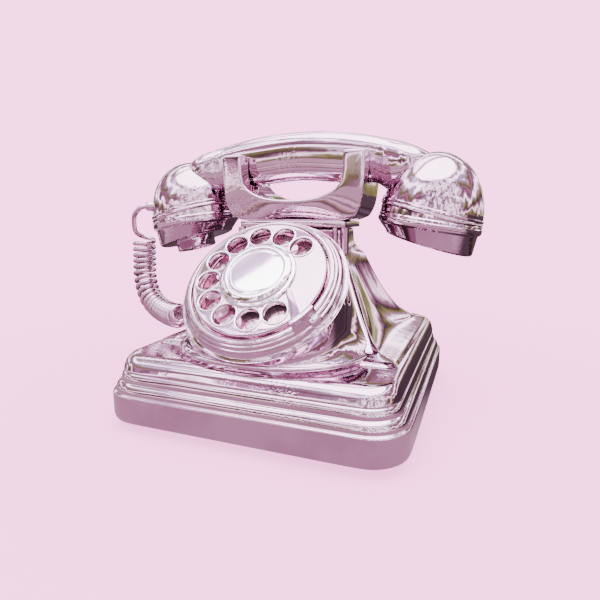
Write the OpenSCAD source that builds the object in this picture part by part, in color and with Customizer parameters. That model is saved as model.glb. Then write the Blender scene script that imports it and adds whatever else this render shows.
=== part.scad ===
// Rotary desk telephone: flared housing on a stepped plinth, four-horned cradle, handset with a curly cord.
// Frame: +X right, -Y front, +Z up, origin on the table under the middle of the plinth. Millimetres.

/* [Plinth and housing] */
// Width of the plinth
base_w = 170; // [150:1:200]
// Depth of the plinth, front to back
base_d = 183; // [165:1:215]
// Height of the straight skirt of the plinth
skirt_h = 16; // [12:0.5:22]
// Corner radius of the plinth in plan
corner_r = 21; // [16:1:28]
// Wall of the housing
wall = 2.6; // [2:0.1:3.4]
// Height from the table to the top of the neck
neck_top = 110; // [106:1:120]

/* [Base] */
// Height of the rubber feet
foot_h = 5; // [4:0.5:8]
// Diameter of the rubber feet
foot_d = 30; // [20:1:34]
// Distance of the feet and screws from the middle, sideways
foot_x = 62; // [55:1:66]
// Distance of the feet and screws from the middle, front to back
foot_y = 67; // [60:1:72]
// Thickness of the base plate
plate_t = 1.6; // [1.2:0.1:2.4]
// Outer diameter of the screw bosses
boss_d = 9; // [8:0.5:12]
// Diameter of the base screws
base_screw_d = 3.5; // [3:0.1:4]

/* [Dial] */
// Distance of the dial's middle in front of the housing's middle
dial_y = 59.6; // [56:0.2:62]
// Height of the dial's middle
dial_z = 86.3; // [84:0.2:90]
// Angle between the dial's axis and the table
dial_elev = 45.4; // [42:0.2:48]
// Diameter of the finger wheel
wheel_d = 74.4; // [70:0.2:76]
// Thickness of the finger wheel
wheel_t = 2.2; // [1.6:0.1:3]
// Radius of the circle on which the finger holes lie
hole_ring_r = 28; // [26:0.1:29]
// Diameter of a finger hole
finger_hole_d = 12.4; // [10.5:0.1:12.6]
// Number of finger holes
hole_count = 10; // [8:1:10]
// Angle between neighbouring finger holes
hole_step = 28.9; // [28.5:0.1:29.5]
// Angle of the first finger hole, counter-clockwise from the right
first_hole = 47.1; // [44:0.1:50]
// Outer diameter of the hub ring
hub_d = 43; // [38:0.5:43]
// Height of the hub ring over the wheel
hub_h = 4; // [3:0.1:6]
// Diameter of the disc in the hub
hub_disc_d = 30.4; // [26:0.2:32]
// Width of the bezel's ring, from its bore to its outer edge
bezel_w = 8.3; // [7.9:0.1:8.6]
// Height of the bezel over its seat
bezel_h = 8.6; // [7:0.1:9]
// Gap between the wheel and the bezel
wheel_gap = 1.2; // [0.8:0.1:1.8]
// Angle of the finger stop, counter-clockwise from the right
stop_angle = -31; // [-34:0.5:-28]
// Depth of the dial case behind the bezel
case_depth = 20; // [19:0.5:22]
// Diameter of the dial shaft
shaft_d = 6; // [5:0.1:7]

/* [Dial gears] */
// Tooth size of the dial gears, pitch diameter over tooth count
gear_module = 1; // [0.9:0.05:1]
// Teeth of the main gear
main_teeth = 40; // [36:4:40]
// Teeth of the small pinion
pinion_teeth = 10; // [10:1:11]
// Teeth of the intermediate wheel
middle_teeth = 22; // [20:2:22]
// Teeth of the governor pinion
governor_teeth = 11; // [10:1:11]
// Thickness of the gear wheels
gear_t = 2; // [1.5:0.1:2.5]

/* [Cradle] */
// Outer width over the horns
cradle_w = 91; // [88:0.5:94]
// Clear width between the left and right horns
cradle_gap = 65; // [60:0.5:68]
// Height of the horn tops over the neck
horn_rise = 44; // [40:0.5:48]
// Height of the notch on which the grip rests, over the neck
notch_rise = 26.6; // [24:0.2:28]
// Height of the saddle between the left and right horns, over the neck
saddle_rise = 16.2; // [15:0.2:17.4]
// Middle of the cradle, behind the middle of the housing
cradle_y = 6; // [4:0.5:8]
// Depth over the front and rear horns
cradle_d = 42; // [40:0.5:46]
// Clear width between the front and rear horns
notch_w = 20; // [19:0.2:22]
// Thickness of the flange under the cradle
flange_t = 3.4; // [2.5:0.1:5]

/* [Hook switch] */
// Travel of the plunger
plunger_travel = 3.5; // [2.5:0.1:3.6]
// Diameter of the plunger prongs
prong_d = 3.6; // [3:0.1:3.8]
// Distance of the prongs from the middle
prong_x = 35.5; // [35:0.1:37]
// Diameter of the plunger stem
stem_d = 5; // [4:0.1:6]
// Length of the plunger's stem below the top of the neck
stem_reach = 14; // [12:0.5:16]
// Length of the switch lever from its pivot to the stem
lever_arm = 14; // [12:0.5:16]

/* [Handset] */
// Distance of the earpiece and mouthpiece from the middle
cap_x = 80; // [78:0.5:84]
// Height of the joint between dome and cap, over the neck
cap_rise = 5.8; // [4:0.2:8]
// Tilt of the caps towards each other
cap_tilt = 9; // [6:0.5:12]
// Diameter of the domes at the joint
dome_d = 58; // [56:0.5:60]
// Extra tilt of the caps' faces
face_tilt = 7; // [3:0.5:9]
// Tilt of the domes towards each other
dome_tilt = 8; // [5:0.5:9]
// Height of the domes over the joint
dome_h = 37; // [35:0.5:39]
// Height of the caps
cap_h = 15; // [13:0.5:17]
// Diameter of the cap's face
cap_face_d = 51; // [46:0.5:53]
// Wall of domes and caps
cap_wall = 2.4; // [2:0.1:3]
// Height of the top of the grip, over the neck
grip_rise = 58.3; // [56:0.1:60]
// Radius of the long arch of the grip
grip_arch_r = 224; // [200:1:260]
// Width of the grip
grip_w = 19; // [17:0.2:19.2]

/* [Ringer] */
// Diameter of the gongs
gong_d = 46; // [40:1:48]
// Height of a gong
gong_h = 13; // [10:0.5:15]
// Distance of the gongs from the middle
gong_x = 29.5; // [29:0.5:31]
// Place of the gongs behind the middle
gong_y = 50; // [48:1:52]
// Diameter of the clapper's ball
ball_d = 7; // [6:0.5:8]

/* [Works] */
// Width of the capacitor's can
capacitor_w = 28; // [24:1:30]
// Length of the capacitor's can
capacitor_l = 40; // [34:1:42]
// Height of the capacitor's can
capacitor_h = 22; // [18:1:24]
// Diameter of the induction coil's winding
winding_d = 17; // [14:0.5:18]
// Length of the induction coil's winding
winding_l = 30; // [26:1:32]
// Diameter of the ringer's coils
ringer_coil_d = 14; // [12:0.5:14.5]
// Length of the ringer's coils
ringer_coil_l = 15.8; // [14:0.2:16]
// Width of the terminal block
block_w = 48; // [46:1:54]
// Depth of the terminal block
block_d = 18; // [16:1:20]
// Height of the terminal block
block_h = 9; // [8:0.5:11]
// Depth of the main gear under the top of the dial case
gear_drop = 8; // [7.5:0.1:8.5]
// Distance from one layer of gears to the next
gear_layer = 4; // [3.5:0.1:4.2]
// Diameter of the capsules in the handset
capsule_d = 44; // [40:0.5:44]
// Depth of the capsules in the handset
capsule_h = 12; // [10:0.5:12.5]
// Length of the hook switch's springs
spring_l = 30; // [26:1:32]

/* [Cord] */
// Diameter of the cord's wire
cord_d = 3.3; // [3:0.1:3.4]
// Outer diameter of the curls
curl_d = 16.4; // [15:0.2:16.6]
// Number of curls
curls = 22; // [18:1:22]

/* [Hidden] */
$fn = 64;
chrome = [0.84, 0.60, 0.74];
chrome_dark = [0.72, 0.50, 0.63];
steel = [0.72, 0.72, 0.74];
brass = [0.80, 0.66, 0.36];
black = [0.12, 0.11, 0.12];
white = [0.93, 0.91, 0.92];

// Clearances
run_gap = 0.05;
fit_gap = 0.02;
bush_gap = 0.1;

// Handset cord: the middle line of the curls, from above the top curl to inside the gland
coil_route = [[-119.5, 0, 121], [-120.3, 0, 104.5], [-121.2, 0, 88], [-120, -2, 72], [-113.5, -6, 59.5],
              [-102, -11.5, 53], [-90, -18, 51.2], [-78, -26, 51.8], [-65.6, -32, 53.4], [-52, -31.4, 54.8]];
// The tail between the handset's bush and the first curl
tail_route = [[-113, -14.5, 120.3], [-118.5, -11.5, 117.5], [-122.8, -7.5, 112.5]];
coil_side = [-0.5, -0.86, 0];
coil_start = 38;
ease = 0.5;
run_in = 0.35;
bush_angle = 216;
bush_h = 11;
bush_rise = 8;
bush_r = 28.6;
bush_len = 3.4;
bush_d = 6.4;

// Heights over the table of what the neck carries
horn_top = neck_top + horn_rise;
notch_z = neck_top + notch_rise;
saddle_z = neck_top + saddle_rise;
cap_z = neck_top + cap_rise;
grip_top = neck_top + grip_rise;

half_w = base_w / 2;
half_d = base_d / 2;
skirt_z = foot_h + skirt_h;
inner_top = neck_top - wall;

// ---------------------------------------------------------------- housing loft
arc_pts = 6;
side_pts = 5;

function arc(c, r, a0) = [for (i = [0:arc_pts - 1]) let (a = a0 + 90 * i / (arc_pts - 1))
    [c[0] + r * cos(a), c[1] + r * sin(a)]];
function between(a, b, bow) = [for (k = [1:side_pts]) let (t = k / (side_pts + 1))
    a + (b - a) * t + bow * 4 * t * (1 - t)];
// One ring of the loft: s = [z, front half width, front y, front radius, rear half width, rear y,
// rear radius, side bow, rear bow]
function ring(s) = let (xf = s[1], yf = s[2], rf = s[3], xr = s[4], yr = s[5], rr = s[6])
    [for (p = concat(
        arc([xf - rf, yf + rf], rf, -90),
        between([xf, yf + rf], [xr, yr - rr], [-s[7], 0]),
        arc([xr - rr, yr - rr], rr, 0),
        between([xr - rr, yr], [-(xr - rr), yr], [0, -s[8]]),
        arc([-(xr - rr), yr - rr], rr, 90),
        between([-xr, yr - rr], [-xf, yf + rf], [s[7], 0]),
        arc([-(xf - rf), yf + rf], rf, 180),
        between([-(xf - rf), yf], [xf - rf, yf], [0, 0]))) [p[0], p[1], s[0]]];
// A ring of the plinth, moved in by i from the outline
function plinth(z, i) = [z, half_w - i, -(half_d - i), corner_r - 0.75 * i,
                         half_w - i, half_d - i, corner_r - 0.75 * i, 0, 0];
function inward(s, t) = [s[0] - t, s[1] - t, s[2] + t, max(1, s[3] - t), s[4] - t, s[5] - t,
                         max(1, s[6] - t), s[7], s[8]];

// Steps of the plinth, from the bottom edge to the shoulder: height over the skirt's top, inset
skirt_rows = [plinth(foot_h, 1.6), plinth(foot_h + 1, 0.5), plinth(foot_h + 2.4, 0),
              plinth(skirt_z - 1.4, 0), plinth(skirt_z - 0.4, 0.35), plinth(skirt_z, 1.3)];
step_rows = [plinth(skirt_z + 0.1, 1.7), plinth(skirt_z + 4.4, 2), plinth(skirt_z + 5.4, 2.6),
             plinth(skirt_z + 5.7, 3.5), plinth(skirt_z + 5.9, 4), plinth(skirt_z + 9.2, 4.4),
             plinth(skirt_z + 10.2, 5), plinth(skirt_z + 10.5, 6)];
sh = skirt_z - 21;
// Shoulder and top, each row as in ring()
shoulder_rows = [[34 + sh, half_w - 6.6, -(half_d - 7), 15, half_w - 6.2, half_d - 5.8, 15, 0, 0],
                 [36.8 + sh, half_w - 7.2, -(half_d - 8.2), 14, half_w - 6.8, half_d - 6.2, 15, 0, 0],
                 [39 + sh, half_w - 8.4, -(half_d - 10.2), 13, half_w - 7.6, half_d - 7, 14, 0, 0],
                 [40.3 + sh, half_w - 9.8, -(half_d - 12.8), 11, half_w - 8.6, half_d - 8, 14, 0, 0]];
top_rows = [[40.7 + sh, half_w - 11, -(half_d - 16.5), 9, half_w - 9, half_d - 8.4, 13, 0, 0],
            [40.9 + sh, half_w - 11.4, -54, 7, half_w - 9.2, half_d - 8.6, 13, 0, 0],
            [42.8 + sh, half_w - 14, -51.5, 6, half_w - 11.2, half_d - 10.8, 12, 0.1, 0.2],
            [43.8 + sh, half_w - 18, -47.8, 5, half_w - 14, half_d - 14, 12, 0.6, 1],
            [44.7 + sh, 63, -44.4, 4, half_w - 17.2, half_d - 18, 12, 1.5, 2]];
body_rows = [[46, 60.6, -41.8, 4, 65.3, 71, 12, 3, 4],
             [50, 56.6, -37.7, 4, 61.2, 62, 11, 4, 5],
             [56, 53.1, -33.8, 4, 56.4, 52, 10, 4.5, 5],
             [64, 48.9, -29, 4, 51.8, 42.5, 9, 4.5, 5],
             [72, 44.7, -24, 4, 48, 35, 8, 3.5, 4],
             [80, 40.6, -19, 4, 44.6, 29.3, 7, 2.5, 3],
             [87, 37, -14.8, 4, 41.8, 25.3, 6, 1.4, 1.5],
             [92, 34.5, -12.4, 3.5, 39.6, 22.8, 5.5, 0.7, 0.6],
             [95.4, 33.4, -12.2, 3, 36.8, 21.2, 5, 0.3, 0.2],
             [98, 32.8, -11.8, 3, 33.6, 20.2, 4, 0, 0],
             [101, 32.2, -11.6, 3, 31.8, 19.6, 4, 0, 0],
             [neck_top, 32.2, -11.6, 3, 31.6, 19.6, 4, 0, 0]];
outer_rows = concat(skirt_rows, step_rows, shoulder_rows, top_rows, body_rows);
inner_low = [plinth(foot_h, 1.6 + 1.3), plinth(skirt_z - 2.4, 1.6 + 1.3), plinth(skirt_z + 3.4, 5.6),
             plinth(skirt_z + 8.4, 8.6), plinth(33.9 + sh, 10.6)];
inner_rows = concat(inner_low, [for (s = concat([shoulder_rows[2], shoulder_rows[3]], top_rows, body_rows))
                                inward(s, wall)]);

function centre(s) = [0, (s[2] + s[5]) / 2, s[0]];
// Faces of a stack of a rings with n points, from point o on; turned inside out for an inner stack
function skin(n, a, o, turned) = [for (k = [0:a - 2], i = [0:n - 1]) let (j = (i + 1) % n, p = o + k * n) each
    turned ? [[p + i, p + n + j, p + n + i], [p + i, p + j, p + n + j]]
           : [[p + i, p + n + i, p + n + j], [p + i, p + n + j, p + j]]];
function fan(n, o, c, turned) = [for (i = [0:n - 1]) let (j = (i + 1) % n)
    turned ? [c, o + i, o + j] : [c, o + j, o + i]];
// A shell between two stacks of rings, open at the bottom
module shell(outer, inner) {
    n = len(ring(outer[0]));
    a = len(outer);
    b = len(inner);
    o = a * n;
    e = o + b * n;
    rim = [for (i = [0:n - 1]) let (j = (i + 1) % n) each [[i, j, o + j], [i, o + j, o + i]]];
    polyhedron(concat([for (s = outer) each ring(s)], [for (s = inner) each ring(s)],
                      [centre(outer[a - 1]), centre(inner[b - 1])]),
               concat(skin(n, a, 0, false), skin(n, b, o, true), rim,
                      fan(n, o - n, e, false), fan(n, e - n, e + 1, true)), convexity = 8);
}
// The same stack of rings as a filled block
module solid(rows) {
    n = len(ring(rows[0]));
    a = len(rows);
    polyhedron(concat([for (s = rows) each ring(s)], [centre(rows[0]), centre(rows[a - 1])]),
               concat(skin(n, a, 0, false), fan(n, 0, a * n, true), fan(n, (a - 1) * n, a * n + 1, false)),
               convexity = 8);
}

// ---------------------------------------------------------------- frames
module dial_frame() translate([0, -dial_y, dial_z]) rotate([90 - dial_elev, 0, 0]) children();
module cap_frame(side) translate([side * cap_x, cradle_y, cap_z]) rotate([0, side * cap_tilt, 0]) children();
module mirrored() { children(); mirror([1, 0, 0]) children(); }
module tube(r_out, r_in, h) difference() {
    cylinder(r = r_out, h = h);
    translate([0, 0, -1]) cylinder(r = r_in, h = h + 2);
}
module rounded(x, y, r, h) linear_extrude(h) {
    square([2 * x - 2 * r, 2 * y], center = true);
    square([2 * x, 2 * y - 2 * r], center = true);
    for (i = [-1, 1], j = [-1, 1]) translate([i * (x - r), j * (y - r)]) circle(r);
}
module at_feet() for (i = [-1, 1], j = [-1, 1]) translate([i * foot_x, j * foot_y, 0]) children();

// ---------------------------------------------------------------- housing
seat_w = -(bezel_h + 1.4);
bore_r = wheel_d / 2 + wheel_gap;
bezel_r = bore_r + bezel_w;
case_wall = 1.6;
case_r = bore_r + case_wall;
front_boss_top = 39.6 + sh;
rear_boss_top = 43 + sh;
cradle_screw_d = 3;
cradle_screw_x = 25;
cradle_screw_y = cradle_y - 10;
pilaster_w = 5;
gland_r = 4.2;
gland_len = 11;
inlet_z = 14;
inlet_x = -30;
inlet_r = 5;

module pilaster(x, w, y) translate([x, y, 93.4]) linear_extrude(neck_top - 93.4) {
    translate([0, -2]) square([w, 4]);
    translate([w / 2, -2]) circle(w / 2);
}
module pilasters() mirrored() {
    pilaster(31.2, pilaster_w, -10);
    pilaster(26.6, 3, -11.2);
}
module housing_shell() color(chrome) difference() {
    union() {
        shell(outer_rows, inner_rows);
        pilasters();
        for (i = [-1, 1], j = [-1, 1]) translate([i * foot_x, j * foot_y, foot_h + plate_t])
            cylinder(d = boss_d, h = (j > 0 ? rear_boss_top : front_boss_top) - foot_h - plate_t);
    }
    dial_frame() translate([0, 0, -52]) cylinder(r = case_r + 1, h = 46);
    at_feet() translate([0, 0, foot_h]) cylinder(d = base_screw_d + 2 * fit_gap, h = 22);
    translate([0, cradle_y, neck_top - 8]) cylinder(d = stem_d + 1, h = 12);
    mirrored() translate([cradle_screw_x, cradle_screw_y, neck_top - 8])
        cylinder(d = cradle_screw_d + 2 * fit_gap, h = 12);
    gland_frame() cylinder(r = gland_r + bush_gap, h = gland_len + 1);
    translate([inlet_x, half_d + 4, inlet_z]) rotate([90, 0, 0]) cylinder(r = inlet_r, h = 14);
}

// ---------------------------------------------------------------- cowl
lip_r = 60;
lip_y = 20;
lip_z = 41.2 + sh;
lip_tilt = 3;
lip_back = 39;
cowl_t = 2.4;
cowl_top_w = 36.2;
cowl_top_z = 90;
cowl_top_y = 15;
module cowl_form(t, drop) hull() {
    dial_frame() translate([0, 0, seat_w - 1.5 - t]) cylinder(r = bezel_r + 0.3 - t, h = 1.5);
    translate([0, -lip_y - lip_r, lip_z - drop]) rotate([lip_tilt, 0, 0]) translate([0, lip_r, 0])
        intersection() {
            cylinder(r = lip_r - t, h = 1.2);
            translate([-100, -220 - lip_back + lip_y + 2 * t, -5]) cube([200, 220, 10]);
        }
    translate([-cowl_top_w + t, -cowl_top_y + 1.2 * t, cowl_top_z - 1.5 * t])
        cube([2 * (cowl_top_w - t), 2, 4]);
}
module dial_cowl() color(chrome) difference() {
    cowl_form(0, 0);
    cowl_form(cowl_t, 2);
    solid(outer_rows);
    pilasters();
    gland_frame() cylinder(r = gland_r + bush_gap, h = gland_len + 1);
    dial_frame() translate([0, 0, seat_w - 8]) cylinder(r = case_r + 0.5, h = 12);
}

// ---------------------------------------------------------------- base
module base_plate() color(steel) difference() {
    translate([0, 0, foot_h]) rounded(half_w - 3.2, half_d - 3.2, corner_r - 2.4, plate_t);
    at_feet() translate([0, 0, foot_h - 1]) cylinder(d = base_screw_d + 2 * fit_gap, h = plate_t + 2);
}
screw_head_d = 7.4;
foot_web = 2;
module rubber_feet() color(black) at_feet() difference() {
    cylinder(d1 = foot_d - 2, d2 = foot_d, h = foot_h);
    translate([0, 0, -1]) cylinder(d = screw_head_d + 1, h = foot_h - foot_web + 1);
    cylinder(d = base_screw_d + 2 * fit_gap, h = foot_h + 1);
}
module base_screws() color(steel) at_feet() {
    translate([0, 0, foot_h - foot_web - 1.8]) cylinder(d = screw_head_d, h = 1.8);
    translate([0, 0, foot_h - foot_web - 0.1]) cylinder(d = base_screw_d, h = 18);
}

// ---------------------------------------------------------------- cradle
cradle_r = cradle_w / 2;
gap_r = cradle_gap / 2;
cradle_z = neck_top + flange_t;
cradle_f = cradle_y - cradle_d / 2;
cradle_b = cradle_y + cradle_d / 2;
notch_f = cradle_y - notch_w / 2;
notch_b = cradle_y + notch_w / 2;
slot_top = saddle_z - 2;
bar_z = slot_top - 0.5 - plunger_travel - 2.5;
// Quarter of a curve that is a little squarer than an ellipse, from [x, 0] to [0, y]
function quarter(x, y, e, n) = [for (i = [0:n]) let (a = 90 * i / n)
    [x * pow(cos(a), 2 / e), y * pow(sin(a), 2 / e)]];
bowl_h = notch_z + 3 - cradle_z;
cup_h = 14;
module cradle_front() {
    bowl = quarter(cradle_r - 0.6, bowl_h, 4, 12);
    keep = [for (p = bowl) if (p[0] > 33) p];
    side = concat([[33, 0]], [for (i = [len(keep) - 1:-1:0]) [keep[i][0], bowl_h - keep[i][1]]],
                  [[cradle_r, horn_top - 2.4 - cradle_z], [cradle_r - 2.2, horn_top - cradle_z]]);
    cup = quarter(gap_r, cup_h, 2.3, 8);
    in = concat([[gap_r, horn_top - cradle_z]], [for (p = cup) [p[0], saddle_z + cup_h - cradle_z - p[1]]]);
    polygon(concat(side, in, [for (i = [len(in) - 2:-1:0]) [-in[i][0], in[i][1]]],
                   [for (i = [len(side) - 1:-1:0]) [-side[i][0], side[i][1]]]));
}
module cradle_side() polygon([
    [cradle_f + 3, cradle_z], [cradle_f + 0.6, cradle_z + 4], [cradle_f, cradle_z + 9],
    [cradle_f, horn_top - 2], [cradle_f + 1.6, horn_top], [notch_f - 1.8, horn_top], [notch_f, horn_top - 2],
    [notch_f, notch_z + 5], [notch_f + 1.3, notch_z + 1.6], [notch_f + 4, notch_z],
    [notch_b - 4, notch_z], [notch_b - 1.3, notch_z + 1.6], [notch_b, notch_z + 5],
    [notch_b, horn_top - 2], [notch_b + 1.8, horn_top], [cradle_b - 1.6, horn_top], [cradle_b, horn_top - 2],
    [cradle_b, cradle_z + 14], [cradle_b - 2, cradle_z + 6], [cradle_b - 6, cradle_z]]);
module cradle() color(chrome) difference() {
    union() {
        intersection() {
            translate([0, 60, cradle_z]) rotate([90, 0, 0]) linear_extrude(120) cradle_front();
            translate([-60, 0, 0]) rotate([90, 0, 90]) linear_extrude(120) cradle_side();
        }
        translate([0, cradle_y - 2.6, neck_top]) rounded(34.8, 17.6, 3, flange_t);
    }
    translate([-prong_x - prong_d / 2 - 0.3, cradle_y - 2, neck_top - 1])
        cube([2 * prong_x + prong_d + 0.6, 4, slot_top - neck_top + 1]);
    mirrored() translate([prong_x, cradle_y, neck_top]) cylinder(d = prong_d + 2 * run_gap, h = 40);
    translate([0, cradle_y, neck_top - 1]) cylinder(d = stem_d + 2 * run_gap, h = slot_top - neck_top + 1);
    mirrored() translate([cradle_screw_x, cradle_screw_y, neck_top - 1])
        cylinder(d = cradle_screw_d + 2 * fit_gap, h = 9);
}
module cradle_screws() color(steel) mirrored() translate([cradle_screw_x, cradle_screw_y, 0]) {
    translate([0, 0, inner_top - 2.2]) cylinder(d = 5.6, h = 2.2);
    translate([0, 0, inner_top - 0.1]) cylinder(d = cradle_screw_d, h = 10);
}
stem_bottom = neck_top - stem_reach;
prong_top = notch_z;
module cradle_plunger() color(steel) translate([0, cradle_y, 0]) {
    mirrored() translate([prong_x, 0, bar_z + 0.5]) cylinder(d = prong_d, h = prong_top - bar_z - 0.5);
    translate([-prong_x, -1.5, bar_z]) cube([2 * prong_x, 3, 2.5]);
    translate([0, 0, stem_bottom]) cylinder(d = stem_d, h = bar_z + 0.5 - stem_bottom);
}

// ---------------------------------------------------------------- hook switch
pivot_z = stem_bottom - 4;
module hookswitch_bracket() color(steel) translate([0, cradle_y, 0]) difference() {
    union() {
        for (y = [-9, 7.5]) translate([lever_arm - 5, y, pivot_z - 4])
            cube([10, 1.5, inner_top - pivot_z + 4]);
        translate([lever_arm - 5, -9, inner_top - 1.5]) cube([10, 18, 1.5]);
    }
    translate([lever_arm, -12, pivot_z]) rotate([-90, 0, 0]) cylinder(d = 3 + 2 * run_gap, h = 24);
}
module hookswitch_lever() color(brass) translate([0, cradle_y, 0]) {
    translate([lever_arm, -10, pivot_z]) rotate([-90, 0, 0]) cylinder(d = 3, h = 20);
    translate([lever_arm, -6, pivot_z]) rotate([-90, 0, 0]) cylinder(d = 7, h = 12);
    translate([-3.5, -3, pivot_z]) cube([lever_arm + 3.5, 6, 2.4]);
    translate([0, -3, stem_bottom - 0.2 - 1.6]) rotate([-90, 0, 0]) cylinder(r = 1.6, h = 6);
}
spring_t = 0.5;
spring_w = 8;
spring_pitch = 2.4;
spring_top = pivot_z - 12;
post_w = 7;
post_x = -24;
post_low = spring_top - 10;
module hookswitch_springs() color(brass) translate([0, cradle_y, 0]) {
    for (k = [0:3]) translate([post_x + 2, -spring_w / 2, spring_top - spring_pitch * k])
        cube([spring_l, spring_w, spring_t]);
    translate([post_x, -spring_w / 2 - 1, post_low]) cube([post_w, spring_w + 2, inner_top - post_low]);
}

// ---------------------------------------------------------------- dial
wheel_r = wheel_d / 2;
plate_w = -5.6;
plate_r = case_r - case_wall - 0.2;
case_top = seat_w;
case_back = seat_w - case_depth;
function hole_angle(k) = first_hole + k * hole_step;
module at_holes() for (k = [0:hole_count - 1]) rotate(hole_angle(k)) translate([hole_ring_r, 0, 0])
    children();

module dial_bezel() color(chrome) dial_frame() rotate_extrude() polygon([
    [case_r + 0.1, seat_w], [bezel_r, seat_w], [bezel_r, seat_w + 1.6], [bezel_r - 0.5, seat_w + 2.6],
    [bezel_r - 1.6, seat_w + 3.6], [bezel_r - 3.4, seat_w + 4], [bezel_r - 3.6, seat_w + 5.4],
    [bezel_r - 4.4, seat_w + 6.4], [bore_r + 1.4, seat_w + bezel_h - 0.4], [bore_r + 0.6, seat_w + bezel_h],
    [bore_r, seat_w + bezel_h - 0.4], [bore_r, seat_w + 1.6], [case_r + 0.1, seat_w + 1.6]]);
module number_plate() color(white) dial_frame() difference() {
    union() {
        translate([0, 0, plate_w - 0.8]) cylinder(r = plate_r - 0.6, h = 0.8);
        for (a = [30, 150, 270]) rotate(a) translate([plate_r - 6, 0, case_top - 2])
            cylinder(r = 2.4, h = plate_w - case_top + 1.4);
    }
    translate([0, 0, plate_w - 3]) cylinder(d = shaft_d + 4, h = 6);
}
// Case: a cup over the gears, closed towards the wheel
module dial_case() color(steel) dial_frame() difference() {
    union() {
        translate([0, 0, case_back]) tube(case_r, case_r - case_wall, case_depth + 1.6);
        translate([0, 0, case_top - 4]) cylinder(r = case_r - 0.5, h = 2);
    }
    translate([0, 0, case_top - 6]) cylinder(d = shaft_d + 2 * run_gap, h = 10);
}
module dial_back_plate() color(steel) dial_frame() difference() {
    translate([0, 0, case_back]) cylinder(r = case_r - case_wall - fit_gap, h = 1.6);
    translate([0, 0, case_back - 1]) cylinder(d = shaft_d + 2 * run_gap, h = 4);
    translate([middle_at[0], middle_at[1], case_back - 1]) cylinder(d = 2 + 2 * run_gap, h = 4);
    translate([governor_at[0], governor_at[1], case_back - 1]) cylinder(d = 2 + 2 * run_gap, h = 4);
}
// Finger stop: a blade over the wheel, a foot along the bezel and a tab with a screw
function pol(r, a) = [r * cos(a), r * sin(a)];
stop_w = 1.3;
stop_t = 1.2;
rim_r = bore_r + 1.4;
stop_blade = [pol(22.6, 8.5), pol(22.6, 2.5), pol(25, -1.4), pol(28, -4.8), pol(33, -9.6), pol(39.6, -14.2),
              pol(39.6, -6.3), pol(33, -0.6), pol(28, 4.7), pol(25, 7.2)];
module finger_stop() color(chrome) dial_frame() difference() {
    union() {
        translate([0, 0, stop_w]) rotate(stop_angle) linear_extrude(stop_t) polygon(stop_blade);
        intersection() {
            rotate_extrude() polygon([[rim_r, seat_w + bezel_h - 0.4], [bezel_r - 4.4, seat_w + 6.4],
                [bezel_r - 3.6, seat_w + 6.6], [bezel_r - 5, seat_w + 9], [rim_r + 1.2, stop_w + stop_t],
                [rim_r - 0.8, stop_w + stop_t], [rim_r - 0.8, stop_w]]);
            rotate(stop_angle) translate([0, 0, -20]) linear_extrude(40)
                polygon([pol(30, 4), pol(50, 4), pol(50, -16), pol(30, -16)]);
        }
        intersection() {
            rotate_extrude() polygon([[bezel_r - 4.4, seat_w + 6.4], [bezel_r - 3.6, seat_w + 5.4],
                [bezel_r - 3.4, seat_w + 4], [bezel_r - 1.6, seat_w + 3.6], [bezel_r - 1.6, seat_w + 4.8],
                [bezel_r - 2.4, seat_w + 6.6], [bezel_r - 3.8, seat_w + 8], [bezel_r - 5, seat_w + 8]]);
            rotate(stop_angle) translate([0, 0, -20]) linear_extrude(40)
                polygon([pol(30, 4), pol(50, 4), pol(50, -4), pol(30, -4)]);
        }
    }
    rotate(stop_angle) translate([bezel_r - 3.5, 0, seat_w]) {
        cylinder(r = 0.8, h = 12);
        translate([0, 0, 8]) cylinder(r = 1.5 + fit_gap, h = 4);
    }
}
module finger_stop_screw() color(steel) dial_frame() rotate(stop_angle)
    translate([bezel_r - 3.5, 0, seat_w]) {
    translate([0, 0, 6.5]) cylinder(r = 0.78, h = 1.6);
    translate([0, 0, 8]) cylinder(r = 1.5, h = 0.7);
}

module finger_wheel() color(chrome) dial_frame() difference() {
    union() {
        rotate_extrude() polygon([
            [shaft_d / 2 + fit_gap, -wheel_t], [wheel_r - 1.8, -wheel_t], [wheel_r - 1.8, -wheel_t - 1.6],
            [wheel_r - 0.6, -wheel_t - 1.6], [wheel_r, -wheel_t - 0.6], [wheel_r, -1.2],
            [wheel_r - 0.5, -0.3], [wheel_r - 1.4, 0], [shaft_d / 2 + fit_gap, 0]]);
        at_holes() cylinder(r1 = finger_hole_d / 2 + 1.5, r2 = finger_hole_d / 2 + 0.8, h = 0.7);
    }
    at_holes() translate([0, 0, -5]) cylinder(d = finger_hole_d, h = 10);
    cylinder(r = hub_r + fit_gap, h = 2);
}
hub_r = hub_d / 2;
disc_r = hub_disc_d / 2;
module hub_ring() color(chrome) dial_frame() rotate_extrude() polygon([
    [shaft_d / 2 + fit_gap, 0], [hub_r, 0], [hub_r, 0.8], [hub_r - 0.7, 1.5], [hub_r - 2, 1.8],
    [hub_r - 2.4, 2.8], [hub_r - 3.2, hub_h - 0.7], [hub_r - 4.2, hub_h], [disc_r + 0.6, hub_h],
    [disc_r + fit_gap, hub_h - 0.5],
    [disc_r + fit_gap, hub_h - 1.6], [shaft_d / 2 + fit_gap, hub_h - 1.6]]);
module hub_disc() color(white) dial_frame() translate([0, 0, hub_h - 1.6]) {
    cylinder(r = disc_r, h = 0.9);
    translate([0, 0, 0.9]) cylinder(r1 = disc_r - 0.3, r2 = disc_r - 2.4, h = 0.5);
}
module dial_shaft() color(steel) dial_frame() translate([0, 0, case_back - 1])
    cylinder(d = shaft_d, h = hub_h - 1.7 - case_back + 1);

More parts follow.
